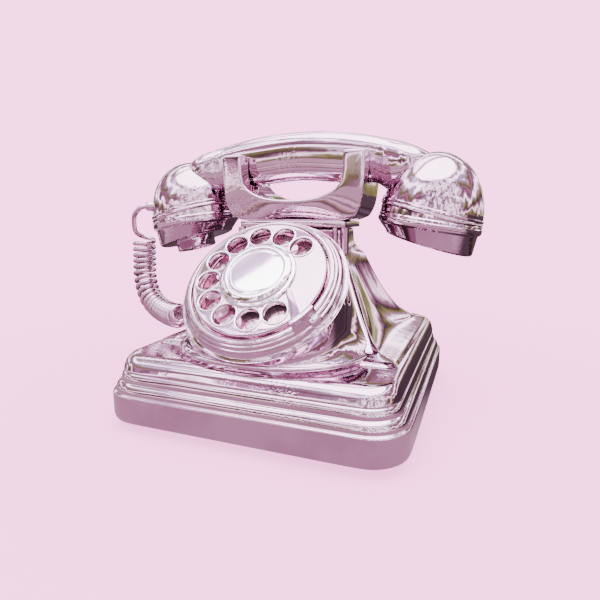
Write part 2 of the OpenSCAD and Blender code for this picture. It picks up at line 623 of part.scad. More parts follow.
// ---------------------------------------------------------------- gears
// Trapezoid teeth with play, so that the gears turn freely
function tooth(n, k) = let (m = gear_module, r = n * m / 2, p = 360 / n) [
    for (q = [[r - 1.05 * m, -0.36], [r, -0.205], [r + 0.85 * m, -0.10],
              [r + 0.85 * m, 0.10], [r, 0.205], [r - 1.05 * m, 0.36]])
        let (a = p * (k + q[1])) [q[0] * cos(a), q[0] * sin(a)]];
module gear(n, phase, bore) rotate(phase) linear_extrude(gear_t) difference() {
    polygon([for (k = [0:n - 1]) each tooth(n, k)]);
    circle(d = bore + 2 * fit_gap);
}
middle_dist = (main_teeth + pinion_teeth) / 2 * gear_module + 0.2;
governor_dist = (middle_teeth + governor_teeth) / 2 * gear_module + 0.2;
middle_dir = 90;
governor_dir = 180;
middle_at = middle_dist * [cos(middle_dir), sin(middle_dir)];
governor_at = middle_at + governor_dist * [cos(governor_dir), sin(governor_dir)];
gear_w1 = case_top - gear_drop;
gear_w2 = gear_w1 - gear_layer;
module main_gear() color(brass) dial_frame() translate([0, 0, gear_w1]) gear(main_teeth, middle_dir, shaft_d);
module intermediate_gear() color(brass) dial_frame() translate([middle_at[0], middle_at[1], 0]) {
    translate([0, 0, gear_w1]) gear(pinion_teeth, middle_dir + 180 + 180 / pinion_teeth, 1);
    translate([0, 0, gear_w2]) gear(middle_teeth, governor_dir, 1);
    translate([0, 0, gear_w2 + gear_t]) cylinder(r = 3, h = gear_w1 - gear_w2 - gear_t);
    translate([0, 0, case_back + 0.1]) cylinder(d = 2, h = case_top - 4 - case_back - 0.2);
}
module governor() color(brass) dial_frame() translate([governor_at[0], governor_at[1], 0]) {
    translate([0, 0, gear_w2]) gear(governor_teeth, governor_dir + 180 + 180 / governor_teeth, 1);
    translate([0, 0, gear_w2 - 4]) cylinder(r = 6.5, h = 2);
    translate([0, 0, gear_w2 - 2]) cylinder(r = 2, h = 2);
    translate([0, 0, case_back + 0.1]) cylinder(d = 2, h = case_top - 4 - case_back - 0.2);
}
module dial_contacts() color(brass) dial_frame() translate([8, -30, case_top - 4 - 9]) {
    for (k = [0:2]) translate([0, 2.2 * k, 0]) cube([14, 0.5, 7]);
    translate([-1, -0.5, 0]) cube([4, 6, 9]);
}

// ---------------------------------------------------------------- ringer
floor_z = foot_h + plate_t;
gong_z = floor_z + 6;
clapper_y = 6;
module gong(x) color(brass) translate([x, gong_y, gong_z]) rotate_extrude() polygon([
    [2.05, gong_h - 1.6], [6, gong_h - 1.6], [gong_d / 2 - 4, gong_h - 4], [gong_d / 2 - 2, 0],
    [gong_d / 2, 0], [gong_d / 2 - 2.4, gong_h - 3], [7, gong_h], [2.05, gong_h]]);
module gong_left() gong(-gong_x);
module gong_right() gong(gong_x);
module gong_screws() color(steel) mirrored() translate([gong_x, gong_y, 0]) {
    translate([0, 0, floor_z + 1.6]) cylinder(r = 2, h = gong_z + gong_h - floor_z - 1.6);
    translate([0, 0, gong_z + gong_h]) cylinder(r = 4, h = 2);
    translate([0, 0, floor_z + 1.6]) cylinder(r = 4, h = gong_z + gong_h - 1.6 - floor_z - 1.6);
}
module ringer_frame() color(steel) {
    translate([-gong_x - 6, gong_y - 6, floor_z]) cube([2 * gong_x + 12, 12, 1.6]);
    translate([-8, clapper_y - 8, floor_z]) cube([16, gong_y - clapper_y + 8, 1.6]);
    translate([0, clapper_y, floor_z + 1.5]) cylinder(r = 1.5, h = 14);
    arm_x = 6 + 2 * cheek_t + ringer_coil_l + 0.2;
    translate([-arm_x - 1.6, clapper_y - 14, floor_z]) cube([2 * arm_x + 3.2, 6, 1.6]);
    mirrored() translate([arm_x, clapper_y - 14, floor_z + 1.5]) cube([1.6, 6, 18]);
}
cheek_t = 1.2;
module ringer_coils() color([0.55, 0.2, 0.16]) mirrored()
    translate([6, clapper_y - 11, floor_z + 12.5]) rotate([0, 90, 0]) {
        cylinder(r = ringer_coil_d / 2 + 1, h = cheek_t);
        translate([0, 0, cheek_t - 0.1]) cylinder(d = ringer_coil_d, h = ringer_coil_l);
        translate([0, 0, cheek_t + ringer_coil_l - 0.2])
            cylinder(r = ringer_coil_d / 2 + 1, h = cheek_t + 0.3);
    }
module clapper() color(brass) translate([0, clapper_y, gong_z + 6.5]) {
    difference() {
        cylinder(r = 4, h = 3);
        translate([0, 0, -1]) cylinder(r = 1.5 + run_gap, h = 5);
    }
    translate([0, 3, 1.5]) rotate([-90, 0, 0]) cylinder(r = 1, h = gong_y - clapper_y - 3 - ball_d / 2 + 0.5);
    translate([0, gong_y - clapper_y, 1.5]) sphere(d = ball_d);
    translate([-4.5, -6.5, 0]) cube([9, 4, 3]);
}

// ---------------------------------------------------------------- electrical parts
edge_room = 19;
module capacitor() color([0.5, 0.5, 0.42]) translate([edge_room - half_w, -22, floor_z])
    cube([capacitor_w, capacitor_l, capacitor_h]);
coil_foot_t = 2;
cheek_w = winding_d - 1;
cheek_d = 3;
coil_foot_w = winding_d + 9;
module induction_coil() color([0.45, 0.3, 0.2]) translate([half_w - edge_room - coil_foot_w, -18, floor_z]) {
    cube([coil_foot_w, winding_l + 12, coil_foot_t]);
    for (y = [cheek_d, cheek_d + winding_l + cheek_d])
        translate([(coil_foot_w - cheek_w) / 2, y, coil_foot_t]) cube([cheek_w, cheek_d, winding_d + 3]);
    translate([coil_foot_w / 2, 2 * cheek_d - 0.1, coil_foot_t + winding_d / 2 + 1.5]) rotate([-90, 0, 0])
        cylinder(d = winding_d, h = winding_l + 0.2);
}
block_y = 29.5 - half_d;
terminal_count = 5;
terminal_d = 3;
terminal_pitch = (block_w - 3) / terminal_count;
module at_terminals() for (i = [0:terminal_count - 1])
    translate([(i - (terminal_count - 1) / 2) * terminal_pitch, block_y + block_d / 2, floor_z]) children();
module terminal_block() color(black) difference() {
    translate([-block_w / 2, block_y, floor_z]) cube([block_w, block_d, block_h]);
    at_terminals() translate([0, 0, 3]) cylinder(d = terminal_d + 2 * fit_gap, h = block_h);
}
module terminal_screws() color(brass) at_terminals() {
    translate([0, 0, 3.2]) cylinder(d = terminal_d, h = block_h - 3);
    translate([0, 0, block_h]) cylinder(d = 5.6, h = 1.8);
}

// ---------------------------------------------------------------- cord fittings
module cord_gland() color(chrome_dark) gland_frame() {
    cylinder(r1 = gland_r - 1.2, r2 = gland_r, h = 1.2);
    translate([0, 0, 1.2]) cylinder(r = gland_r, h = gland_len - 1.2);
}
module line_cord_inlet() color(black) translate([inlet_x, half_d + 2, inlet_z]) rotate([90, 0, 0]) {
    tube(inlet_r + 1.6, 2.6, 1.9);
    tube(inlet_r - fit_gap, 2.6, 9);
}

// ---------------------------------------------------------------- handset
dome_r = dome_d / 2;
face_r = cap_face_d / 2;
grip_x = 78;
grip_end_z = notch_z - 4.6;
dome_curve = 2.04;
// Middle of the two beads over the joint, and their tilt to it
bead_z = 4;
bead_tilt = 6;
// Height of the cap's rounded collar
collar_h = 6;
spout_x = 2;
spout_r = 11;
spout_h = 6;
// The arch bends down a little more towards the domes
roof_bend = 0.006;
roof_bend_x = 62;
function grip_roof(x) = grip_top - grip_arch_r + sqrt(grip_arch_r * grip_arch_r - x * x) - 0.3
    - roof_bend * pow(max(0, abs(x) - roof_bend_x), 2);
// The underside touches the notches, rises a little in the middle and turns down into the domes
function grip_floor(x) = let (a = abs(x)) a < cradle_r + 1
    ? notch_z + run_gap + 2.3 * pow(cos(min(90, a * 90 / 33)), 2)
    : max(grip_end_z, notch_z + run_gap - 0.16 * pow(a - cradle_r - 1, 1.6));
grip_ring = 16;
grip_steps = 32;
function grip_section(x) = let (top = grip_roof(x), low = grip_floor(x), mid = low + 0.56 * (top - low))
    [for (i = [0:grip_ring - 1]) let (a = 360 * (i + 0.5) / grip_ring, s = sin(a), c = cos(a))
        [x, cradle_y + grip_w / 2 * sign(c) * pow(abs(c), 0.72),
         mid + (s > 0 ? top - mid : mid - low) * sign(s) * pow(abs(s), 0.8)]];
module grip() {
    n = grip_ring;
    e = (grip_steps + 1) * n;
    mid = (grip_roof(grip_x) + grip_floor(grip_x)) / 2;
    polyhedron(concat([for (k = [0:grip_steps]) each grip_section(-grip_x + 2 * grip_x * k / grip_steps)],
                      [[-grip_x, cradle_y, mid], [grip_x, cradle_y, mid]]),
               concat(skin(n, grip_steps + 1, 0, false), fan(n, 0, e, true),
                      fan(n, grip_steps * n, e + 1, false)), convexity = 4);
}
// Two beads round the foot of the dome, tilted a little more than the joint under them
module beads(side) cap_frame(side) translate([0, 0, bead_z]) rotate([0, side * bead_tilt, 0])
    rotate_extrude() polygon([[dome_r - 2, -2.4], [dome_r + 0.2, -2.4], [dome_r + 0.7, -1.6],
        [dome_r + 0.6, -0.6], [dome_r + 0.2, 0], [dome_r + 0.6, 0.5], [dome_r + 0.5, 1.3],
        [dome_r - 1.5, 2.6], [dome_r - 2, 2.4]]);
module dome(side) difference() {
    union() {
        translate([side * cap_x, cradle_y, cap_z]) rotate([0, side * dome_tilt, 0]) rotate_extrude()
            polygon(concat([[0, -4], [dome_r, -4]], quarter(dome_r, dome_h, dome_curve, 12)));
        beads(side);
    }
    cap_frame(side) translate([0, 0, -20]) cylinder(r = dome_d, h = 20);
    cap_frame(side) translate([0, 0, -1]) cylinder(r = dome_r - cap_wall, h = 15);
    if (side < 0) bush_frame() translate([0, 0, -6]) cylinder(r = bush_d / 2 + bush_gap, h = 12);
}
module handset_grip() color(chrome) { grip(); dome(-1); dome(1); }
module face_frame(side) cap_frame(side) translate([side * 1.5, 0, -cap_h]) rotate([0, side * face_tilt, 0])
    children();
module cap(side) difference() {
    union() {
        cap_frame(side) rotate_extrude() polygon([[0, -collar_h], [dome_r - 0.6, -collar_h],
            [dome_r + 0.4, 0.8 - collar_h], [dome_r + 0.7, 2 - collar_h], [dome_r + 0.5, -1.6],
            [dome_r, 0], [0, 0]]);
        hull() {
            cap_frame(side) translate([0, 0, -collar_h]) cylinder(r = dome_r - 0.9, h = 0.5);
            face_frame(side) cylinder(r1 = face_r - 1.2, r2 = face_r + 0.3, h = 1.5);
        }
    }
    hull() {
        cap_frame(side) translate([0, 0, 0.5]) cylinder(r = dome_r - cap_wall - 0.8, h = 0.5);
        face_frame(side) translate([0, 0, cap_wall]) cylinder(r = face_r - cap_wall, h = 0.5);
    }
}
module receiver_cap() color(chrome) difference() {
    cap(1);
    face_frame(1) for (a = [0:60:300]) rotate(a) translate([6, 0, -1]) cylinder(r = 1.2, h = 6);
}
// Mouthpiece: a flared oval spout on the cap's face
module spout(t, low, high) face_frame(-1) hull() {
    translate([-spout_x, 0, high]) cylinder(r = spout_r + 3 - t, h = 0.2);
    translate([-spout_x, 0, -low]) for (y = [-4, 4]) translate([0, y, 0]) cylinder(r = spout_r - t, h = 1);
}
module transmitter_cap() color(chrome) difference() {
    union() { cap(-1); spout(0, spout_h, 0.3); }
    spout(2, spout_h + 0.1, cap_wall + 1);
}
module capsule(side) color(steel) face_frame(side) translate([0, 0, cap_wall]) {
    cylinder(d = capsule_d - 8, h = capsule_h);
    translate([0, 0, capsule_h - 2]) cylinder(d = capsule_d, h = 2);
}
module transmitter_capsule() capsule(-1);
module receiver_capsule() capsule(1);
module bush_frame() cap_frame(-1) rotate(bush_angle) translate([bush_r, 0, bush_h])
    rotate([0, 90 - bush_rise, 0]) children();
module handset_bush() color(chrome_dark) bush_frame() {
    translate([0, 0, -3.6]) cylinder(d = bush_d, h = bush_len + 2);
    translate([0, 0, bush_len - 1.6]) cylinder(d1 = bush_d, d2 = bush_d - 1.6, h = 1.6);
}

// ---------------------------------------------------------------- curly cord
function unit(v) = v / norm(v);
// Smooth curve through the points of a list, u = 0 at the second point
function along(p, u) = let (k = max(0, min(floor(u), len(p) - 4)), t = u - k,
    a = p[k], b = p[k + 1], c = p[k + 2], d = p[k + 3])
    0.5 * (2 * b + (c - a) * t + (2 * a - 5 * b + 4 * c - d) * t * t + (3 * b - a - 3 * c + d) * t * t * t);
function cap_point(side, p) = let (a = side * cap_tilt)
    [side * cap_x + p[0] * cos(a) + p[2] * sin(a), cradle_y + p[1], cap_z - p[0] * sin(a) + p[2] * cos(a)];
function bush_point(w) = let (r = bush_r + w * cos(bush_rise))
    cap_point(-1, [r * cos(bush_angle), r * sin(bush_angle), bush_h + w * sin(bush_rise)]);
winding_r = (curl_d - cord_d) / 2;
axis_len = len(coil_route) - 3;
function heading(u) = unit(along(coil_route, u + 0.01) - along(coil_route, u - 0.01));
// Share of the curls in each short stretch of the middle line: fewer where the coil bends, so that the curls
// keep clear of each other on the inside of the bend, and fewer over the first stretch
stretches = 20 * axis_len;
stretch = axis_len / stretches;
function bend(u) = let (a = max(0, u - 0.12), b = min(axis_len, u + 0.12))
    norm(heading(b) - heading(a)) / norm(along(coil_route, b) - along(coil_route, a));
weights = [for (i = [0:stretches - 1]) let (u = (i + 0.5) * stretch)
    norm(along(coil_route, u + stretch / 2) - along(coil_route, u - stretch / 2))
    * (1 - winding_r * bend(u)) * min(1, u / ease)];
sums = [for (i = 0, t = 0; i <= stretches; i = i + 1, t = i <= stretches ? t + weights[i - 1] : t) t];
place_at = [for (i = [0:stretches]) [sums[i] / sums[stretches], i * stretch]];
// Point of the wire's middle at share s of all curls
function coil_point(s) = let (u = lookup(s, place_at), t = heading(u),
    e = unit(coil_side - (coil_side * t) * t), f = cross(t, e), a = coil_start + 360 * curls * s,
    r = winding_r * min(1, (axis_len - u) / run_in))
    along(coil_route, u) + r * (cos(a) * e + sin(a) * f);
rings = 8 * curls;
coil_pts = [for (i = [0:rings]) coil_point(i / rings)];
tail_pts = concat([bush_point(bush_len), bush_point(bush_len + cord_d)], tail_route,
                  [coil_point(0), coil_point(1 / rings)]);
gland_dir = unit(coil_route[len(coil_route) - 1] - coil_route[len(coil_route) - 3]);
gland_at = coil_route[len(coil_route) - 2] + (cord_d + 0.4) * gland_dir;
module gland_frame() translate(gland_at)
    rotate([0, acos(gland_dir[2]), atan2(gland_dir[1], gland_dir[0])]) children();
cord_pts = concat([bush_point(bush_len)], [for (i = [0:4 * (len(tail_pts) - 3) - 1]) along(tail_pts, i / 4)],
                  coil_pts, [gland_at]);
// Least gap of the wound wire to itself, measured on its points and their midpoints
fine_pts = [for (i = [0:len(cord_pts) - 2]) each [cord_pts[i], (cord_pts[i] + cord_pts[i + 1]) / 2]];
run_pts = [for (i = 0, t = 0; i < len(fine_pts); i = i + 1,
           t = i < len(fine_pts) ? t + norm(fine_pts[i] - fine_pts[i - 1]) : t) t];
self_gap = min([for (i = [0:len(fine_pts) - 1], j = [i + 1:1:len(fine_pts) - 1])
    if (run_pts[j] - run_pts[i] > 3 * curl_d / 2) norm(fine_pts[i] - fine_pts[j])]) - cord_d;
echo(cord_self_gap = self_gap, cord_points = len(cord_pts), cord_length = run_pts[len(run_pts) - 1]);
sides = 6;
module handset_cord() color(chrome) {
    n = len(cord_pts);
    dirs = [for (i = [0:n - 1]) unit(cord_pts[min(n - 1, i + 1)] - cord_pts[max(0, i - 1)])];
    ups = [for (i = 0, v = unit(cross(dirs[0], [0, 0, 1])); i < n; i = i + 1,
            v = i < n ? unit(v - (v * dirs[i]) * dirs[i]) : v) v];
    pts = [for (i = [0:n - 1], k = [0:sides - 1]) let (a = 360 * k / sides)
           cord_pts[i] + cord_d / 2 * (cos(a) * ups[i] + sin(a) * cross(dirs[i], ups[i]))];
    polyhedron(pts, concat(
        [for (i = [0:n - 2], k = [0:sides - 1]) let (j = (k + 1) % sides, p = i * sides) each
            [[p + k, p + sides + k, p + sides + j], [p + k, p + sides + j, p + j]]],
        [for (k = [1:sides - 2]) [0, k, k + 1]],
        [for (k = [1:sides - 2]) [(n - 1) * sides, (n - 1) * sides + k + 1, (n - 1) * sides + k]]),
        convexity = 10);
}

housing_shell();
dial_cowl();
base_plate();
rubber_feet();
base_screws();
cradle();
cradle_screws();
cradle_plunger();
hookswitch_bracket();
hookswitch_lever();
hookswitch_springs();
dial_bezel();
number_plate();
dial_case();
dial_back_plate();
finger_stop();
finger_stop_screw();
finger_wheel();
hub_ring();
hub_disc();
dial_shaft();
main_gear();
intermediate_gear();
governor();
dial_contacts();
ringer_frame();
gong_left();
gong_right();
gong_screws();
ringer_coils();
clapper();
capacitor();
induction_coil();
terminal_block();
terminal_screws();
cord_gland();
line_cord_inlet();
handset_grip();
transmitter_cap();
receiver_cap();
transmitter_capsule();
receiver_capsule();
handset_bush();
handset_cord();
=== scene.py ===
# Rotary desk telephone in pink chrome, dressed piece by piece in the order in which it is put together.
from bisect import bisect_right
from math import asin, cos, degrees, floor, pi, radians, sin, sqrt

import bmesh
import bpy
from mathutils import Matrix, Vector


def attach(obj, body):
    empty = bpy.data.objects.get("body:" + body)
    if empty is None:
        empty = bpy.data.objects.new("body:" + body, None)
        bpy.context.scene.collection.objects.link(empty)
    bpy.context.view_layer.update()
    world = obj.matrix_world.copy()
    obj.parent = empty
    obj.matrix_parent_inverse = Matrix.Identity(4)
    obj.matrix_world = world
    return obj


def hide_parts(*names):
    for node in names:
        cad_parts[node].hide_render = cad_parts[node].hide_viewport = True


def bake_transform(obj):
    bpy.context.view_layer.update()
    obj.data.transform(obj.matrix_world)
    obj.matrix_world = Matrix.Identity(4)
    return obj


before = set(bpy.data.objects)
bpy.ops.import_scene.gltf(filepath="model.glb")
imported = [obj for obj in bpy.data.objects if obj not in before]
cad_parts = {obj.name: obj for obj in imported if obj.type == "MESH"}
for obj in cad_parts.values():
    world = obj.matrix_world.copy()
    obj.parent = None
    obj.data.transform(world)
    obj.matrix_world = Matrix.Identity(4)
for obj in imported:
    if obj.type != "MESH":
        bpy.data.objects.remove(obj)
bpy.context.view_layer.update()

# ------------------------------------------------------------------ studio
# A plain pale floor under soft light. The camera stands in front of the telephone's right corner, a little
# over its dial. The plated faces mirror a made-up room: bright bands, dark corners, a ceiling and leaves.
lens = bpy.data.cameras.new("studio_camera")
lens.lens, lens.sensor_width = 28.29, 36
lens.clip_start, lens.clip_end = 0.01, 30
camera = bpy.data.objects.new("studio_camera", lens)
camera.location = (0.11026, -0.28139, 0.11806)
camera.rotation_euler = (radians(79.641), 0, radians(21.235))
bpy.context.scene.collection.objects.link(camera)
bpy.context.scene.camera = camera


def nodes_of(owner):
    """The node tree of a material or world, emptied."""
    owner.use_nodes = True
    owner.node_tree.nodes.clear()
    return owner.node_tree.nodes, owner.node_tree.links


def ramp_of(nodes, stops):
    """A colour ramp with the given stops of place and colour."""
    ramp = nodes.new("ShaderNodeValToRGB")
    while len(ramp.color_ramp.elements) > 1:
        ramp.color_ramp.elements.remove(ramp.color_ramp.elements[0])
    ramp.color_ramp.elements[0].position = stops[0][0]
    ramp.color_ramp.elements[0].color = (*stops[0][1], 1)
    for place, colour in stops[1:]:
        ramp.color_ramp.elements.new(place).color = (*colour, 1)
    return ramp


# The plating mirrors a bright room with dark corners, wood and window light in uneven bands, while the camera sees
# the plain pale colour of the floor all round.
pale = (5.2, 1.65, 3.6)
sky = bpy.data.worlds.new("studio_sky")
bpy.context.scene.world = sky
nodes, links = nodes_of(sky)
place = nodes.new("ShaderNodeTexCoord")
height = nodes.new("ShaderNodeSeparateXYZ")
links.new(place.outputs["Generated"], height.inputs[0])


def math_of(operation, first, second=None, third=None):
    """A math node in the tree at hand, fed by sockets or numbers; gives its result."""
    made = nodes.new("ShaderNodeMath")
    made.operation = operation
    for socket, value in zip(made.inputs, (first, second, third)):
        if isinstance(value, (int, float)):
            socket.default_value = value
        elif value is not None:
            links.new(value, socket)
    return made.outputs[0]


def noise_of(vector, scale, detail, distortion=0.0):
    """A noise in the tree at hand over a vector; gives its value."""
    made = nodes.new("ShaderNodeTexNoise")
    made.inputs["Scale"].default_value, made.inputs["Detail"].default_value = scale, detail
    made.inputs["Distortion"].default_value = distortion
    links.new(vector, made.inputs["Vector"])
    return made.outputs["Fac"]


def eased(value, start, end, low=0.0, high=1.0):
    """A value eased from low to high between a start and an end."""
    made = nodes.new("ShaderNodeMapRange")
    made.interpolation_type = "SMOOTHSTEP"
    made.inputs["From Min"].default_value, made.inputs["From Max"].default_value = start, end
    made.inputs["To Min"].default_value, made.inputs["To Max"].default_value = low, high
    links.new(value, made.inputs["Value"])
    return made.outputs["Result"]


def mix_of(share, first, second):
    """The first colour, with a share of the second over it."""
    made = nodes.new("ShaderNodeMix")
    made.data_type = "RGBA"
    links.new(share, made.inputs["Factor"])
    links.new(first, made.inputs[6])
    links.new(second, made.inputs[7])
    return made.outputs[2]


way = place.outputs["Generated"]
cloud = noise_of(way, 2.3, 3, 0.8)
bands = ramp_of(nodes, [(0.06, (0.26, 0.15, 0.14)), (0.12, (0.6, 0.36, 0.5)), (0.15, (0.28, 0.27, 0.08)),
                        (0.18, (0.75, 0.75, 0.36)), (0.205, (4.2, 3.5, 4.0)), (0.23, (0.8, 0.45, 0.65)),
                        (0.26, (0.11, 0.06, 0.08)), (0.29, (0.45, 0.46, 0.16)), (0.32, (1.0, 0.65, 0.9)),
                        (0.345, (7, 6.4, 7.2)), (0.365, (1.1, 0.55, 0.95)), (0.40, (0.30, 0.19, 0.25)),
                        (0.43, (0.95, 0.45, 0.72)), (0.46, (0.26, 0.31, 0.07)), (0.49, (0.72, 0.62, 0.44)),
                        (0.52, (1.4, 1.15, 1.9)), (0.55, (8, 7.6, 8.4)), (0.58, (2.2, 1.9, 3.0)),
                        (0.61, (0.62, 0.66, 0.30)), (0.645, (1.1, 0.8, 1.05)), (0.67, (7.5, 7, 7.8)),
                        (1.0, (11, 10.8, 11))])
links.new(math_of("MULTIPLY_ADD", height.outputs["Z"], 0.55, math_of("MULTIPLY", cloud, 0.35)), bands.inputs["Fac"])
# A white ceiling with a mauve shade drawn over its far left
ceiling = ramp_of(nodes, [(0.33, (10, 9.7, 10.2)), (0.40, (9.5, 9, 9.8)), (0.425, (2.4, 1.6, 2.7)),
                          (0.47, (1.7, 1.15, 1.9)), (0.54, (2.6, 1.8, 2.6)), (0.60, (7.5, 7, 7.6))])
links.new(math_of("MULTIPLY_ADD", cloud, 0.12, math_of("SUBTRACT", height.outputs["Y"], height.outputs["X"])),
          ceiling.inputs["Fac"])
# Leaves before the window, behind and over the camera
leaves = ramp_of(nodes, [(0.38, (0.45, 0.33, 0.42)), (0.44, (1.5, 1.1, 1.5)), (0.49, (0.40, 0.31, 0.34)),
                         (0.53, (5.5, 5.1, 5.6)), (0.60, (1.5, 1.2, 1.7)), (0.68, (7, 6.8, 7))])
links.new(noise_of(way, 9, 3, 0.6), leaves.inputs["Fac"])
towards = nodes.new("ShaderNodeVectorMath")
towards.operation = "DOT_PRODUCT"
towards.inputs[1].default_value = (0.45, -0.84, 0.30)
links.new(way, towards.inputs[0])
leafy = eased(math_of("MULTIPLY_ADD", cloud, 0.3, math_of("ADD", towards.outputs["Value"], -0.15)), 0.62, 0.84)
outlook = mix_of(leafy, bands.outputs["Color"], leaves.outputs["Color"])
outlook = mix_of(eased(height.outputs["Z"], 0.80, 0.85), outlook, ceiling.outputs["Color"])
room = nodes.new("ShaderNodeBackground")
seen = nodes.new("ShaderNodeBackground")
seen.inputs["Color"].default_value = (*pale, 1)
ray = nodes.new("ShaderNodeLightPath")
either = nodes.new("ShaderNodeMixShader")
shown = nodes.new("ShaderNodeOutputWorld")
links.new(outlook, room.inputs["Color"])
links.new(ray.outputs["Is Camera Ray"], either.inputs["Fac"])
links.new(room.outputs["Background"], either.inputs[1])
links.new(seen.outputs["Background"], either.inputs[2])
links.new(either.outputs["Shader"], shown.inputs["Surface"])


def soft_box(name, at, to, size, power):
    """A rectangular soft light at a point, turned to another, that the plating doesn't mirror."""
    lamp = bpy.data.lights.new(name, "AREA")
    lamp.shape, lamp.size, lamp.size_y = "RECTANGLE", size[0], size[1]
    lamp.energy, lamp.color = power, (1, 0.97, 0.99)
    box = bpy.data.objects.new(name, lamp)
    box.location = at
    box.rotation_euler = (Vector(to) - Vector(at)).to_track_quat("-Z", "Y").to_euler()
    box.visible_glossy = False
    bpy.context.scene.collection.objects.link(box)


soft_box("key_box", (-0.6, -0.7, 1.1), (0, 0, 0.05), (0.8, 0.6), 9)
soft_box("back_box", (-0.2, 0.9, 1.0), (0, 0, 0.1), (0.9, 0.5), 5)

# The floor shows a pale pink with a soft shadow round the feet. In the plating it glows a dimmer mauve instead,
# with painted shade near the telephone and a painted shadow that makes it darkest behind the telephone.
backdrop = bpy.data.materials.new("pale_backdrop")
nodes, links = nodes_of(backdrop)
where = nodes.new("ShaderNodeTexCoord")
grain = nodes.new("ShaderNodeTexNoise")
grain.inputs["Scale"].default_value = 900
tint = ramp_of(nodes, [(0.3, (0.93, 0.29, 0.64)), (0.7, (0.96, 0.31, 0.67))])
paper = nodes.new("ShaderNodeBsdfDiffuse")
glow = nodes.new("ShaderNodeEmission")
glow.inputs["Color"].default_value = (*pale, 1)
spread = nodes.new("ShaderNodeVectorMath")
spread.operation = "LENGTH"
evened = nodes.new("ShaderNodeMixShader")
mirrored = nodes.new("ShaderNodeEmission")
# Painted shade: the glow that the plating mirrors is a dim mauve near the telephone, with brighter and darker rings
# farther out.
reach = ramp_of(nodes, [(0.0, (0.86, 0.50, 0.70)), (0.24, (0.86, 0.50, 0.70)), (0.30, (1.3, 0.85, 1.1)),
                        (0.34, (0.25, 0.15, 0.17)), (0.40, (0.80, 0.56, 0.50)), (0.46, (1.7, 1.05, 1.4)),
                        (0.54, (0.40, 0.25, 0.31)), (0.66, (1.9, 1.3, 1.75)), (0.80, (0.6, 0.4, 0.4)),
                        (1.0, (1.1, 0.75, 0.95))])
links.new(math_of("MULTIPLY_ADD", noise_of(where.outputs["Object"], 6, 2), 0.10,
                  math_of("ADD", spread.outputs["Value"], -0.05)), reach.inputs["Fac"])
links.new(reach.outputs["Color"], mirrored.inputs["Color"])
behind = nodes.new("ShaderNodeSeparateXYZ")
links.new(where.outputs["Object"], behind.inputs[0])
# Painted shadow: the mirrored glow falls from full strength to 0.12 behind the telephone, where its shadow would lie.
links.new(eased(behind.outputs["Y"], -0.06, 0.05, 1.0, 0.12), mirrored.inputs["Strength"])
ray = nodes.new("ShaderNodeLightPath")
either = nodes.new("ShaderNodeMixShader")
out = nodes.new("ShaderNodeOutputMaterial")
links.new(where.outputs["Object"], grain.inputs["Vector"])
links.new(where.outputs["Object"], spread.inputs[0])
links.new(grain.outputs["Fac"], tint.inputs["Fac"])
links.new(tint.outputs["Color"], paper.inputs["Color"])
links.new(eased(spread.outputs["Value"], 0.14, 0.42, 0.55, 1.0), evened.inputs["Fac"])
links.new(paper.outputs["BSDF"], evened.inputs[1])
links.new(glow.outputs["Emission"], evened.inputs[2])
links.new(ray.outputs["Is Camera Ray"], either.inputs["Fac"])
links.new(mirrored.outputs["Emission"], either.inputs[1])
links.new(evened.outputs["Shader"], either.inputs[2])
links.new(either.outputs["Shader"], out.inputs["Surface"])
bm = bmesh.new()
bmesh.ops.create_circle(bm, cap_ends=True, radius=6, segments=96)
floor_mesh = bpy.data.meshes.new("studio_floor")
bm.to_mesh(floor_mesh)
bm.free()
floor_mesh.materials.append(backdrop)
studio_floor = bpy.data.objects.new("studio_floor", floor_mesh)
bpy.context.scene.collection.objects.link(studio_floor)

# ------------------------------------------------------------------ plating
# Every outer piece is polished and plated in the same pink chrome: a mirror with faint waves from the
# polishing wheel, a slightly duller bloom here and there, and fine wear.


def plating(name, light_tone, deep_tone, gloss=(0.02, 0.07), waves=0.12, flecks=0.2, plated=1.0):
    """Mirror plating: two tones that drift over the piece, a drifting gloss, faint waves and hammered patches."""
    finish = bpy.data.materials.new(name)
    nodes, links = nodes_of(finish)
    where = nodes.new("ShaderNodeTexCoord")

    def noise(scale, detail):
        """A noise over the piece's own coordinates."""
        made = nodes.new("ShaderNodeTexNoise")
        made.inputs["Scale"].default_value, made.inputs["Detail"].default_value = scale, detail
        links.new(where.outputs["Object"], made.inputs["Vector"])
        return made.outputs["Fac"]

    def spanned(source, low, high, span):
        """A value between low and high spread over a span."""
        made = nodes.new("ShaderNodeMapRange")
        made.inputs["From Min"].default_value, made.inputs["From Max"].default_value = low, high
        made.inputs["To Min"].default_value, made.inputs["To Max"].default_value = span
        links.new(source, made.inputs["Value"])
        return made.outputs["Result"]

    tone = ramp_of(nodes, [(0.36, deep_tone), (0.62, light_tone)])
    swell = nodes.new("ShaderNodeBump")
    swell.inputs["Strength"].default_value = waves
    swell.inputs["Distance"].default_value = 0.001
    hammer = nodes.new("ShaderNodeBump")
    hammer.inputs["Distance"].default_value = 0.0005
    metal = nodes.new("ShaderNodeBsdfPrincipled")
    metal.inputs["Metallic"].default_value = plated
    out = nodes.new("ShaderNodeOutputMaterial")
    links.new(noise(38, 4), tone.inputs["Fac"])
    links.new(tone.outputs["Color"], metal.inputs["Base Color"])
    links.new(spanned(noise(210, 6), 0.35, 0.75, gloss), metal.inputs["Roughness"])
    links.new(noise(60, 2), swell.inputs["Height"])
    links.new(noise(520, 2), hammer.inputs["Height"])
    links.new(spanned(noise(26, 2), 0.50, 0.62, (0, flecks)), hammer.inputs["Strength"])
    links.new(swell.outputs["Normal"], hammer.inputs["Normal"])
    links.new(hammer.outputs["Normal"], metal.inputs["Normal"])
    links.new(metal.outputs["BSDF"], out.inputs["Surface"])
    return finish


pink_chrome = plating("pink_chrome", (0.68, 0.48, 0.60), (0.58, 0.39, 0.50))

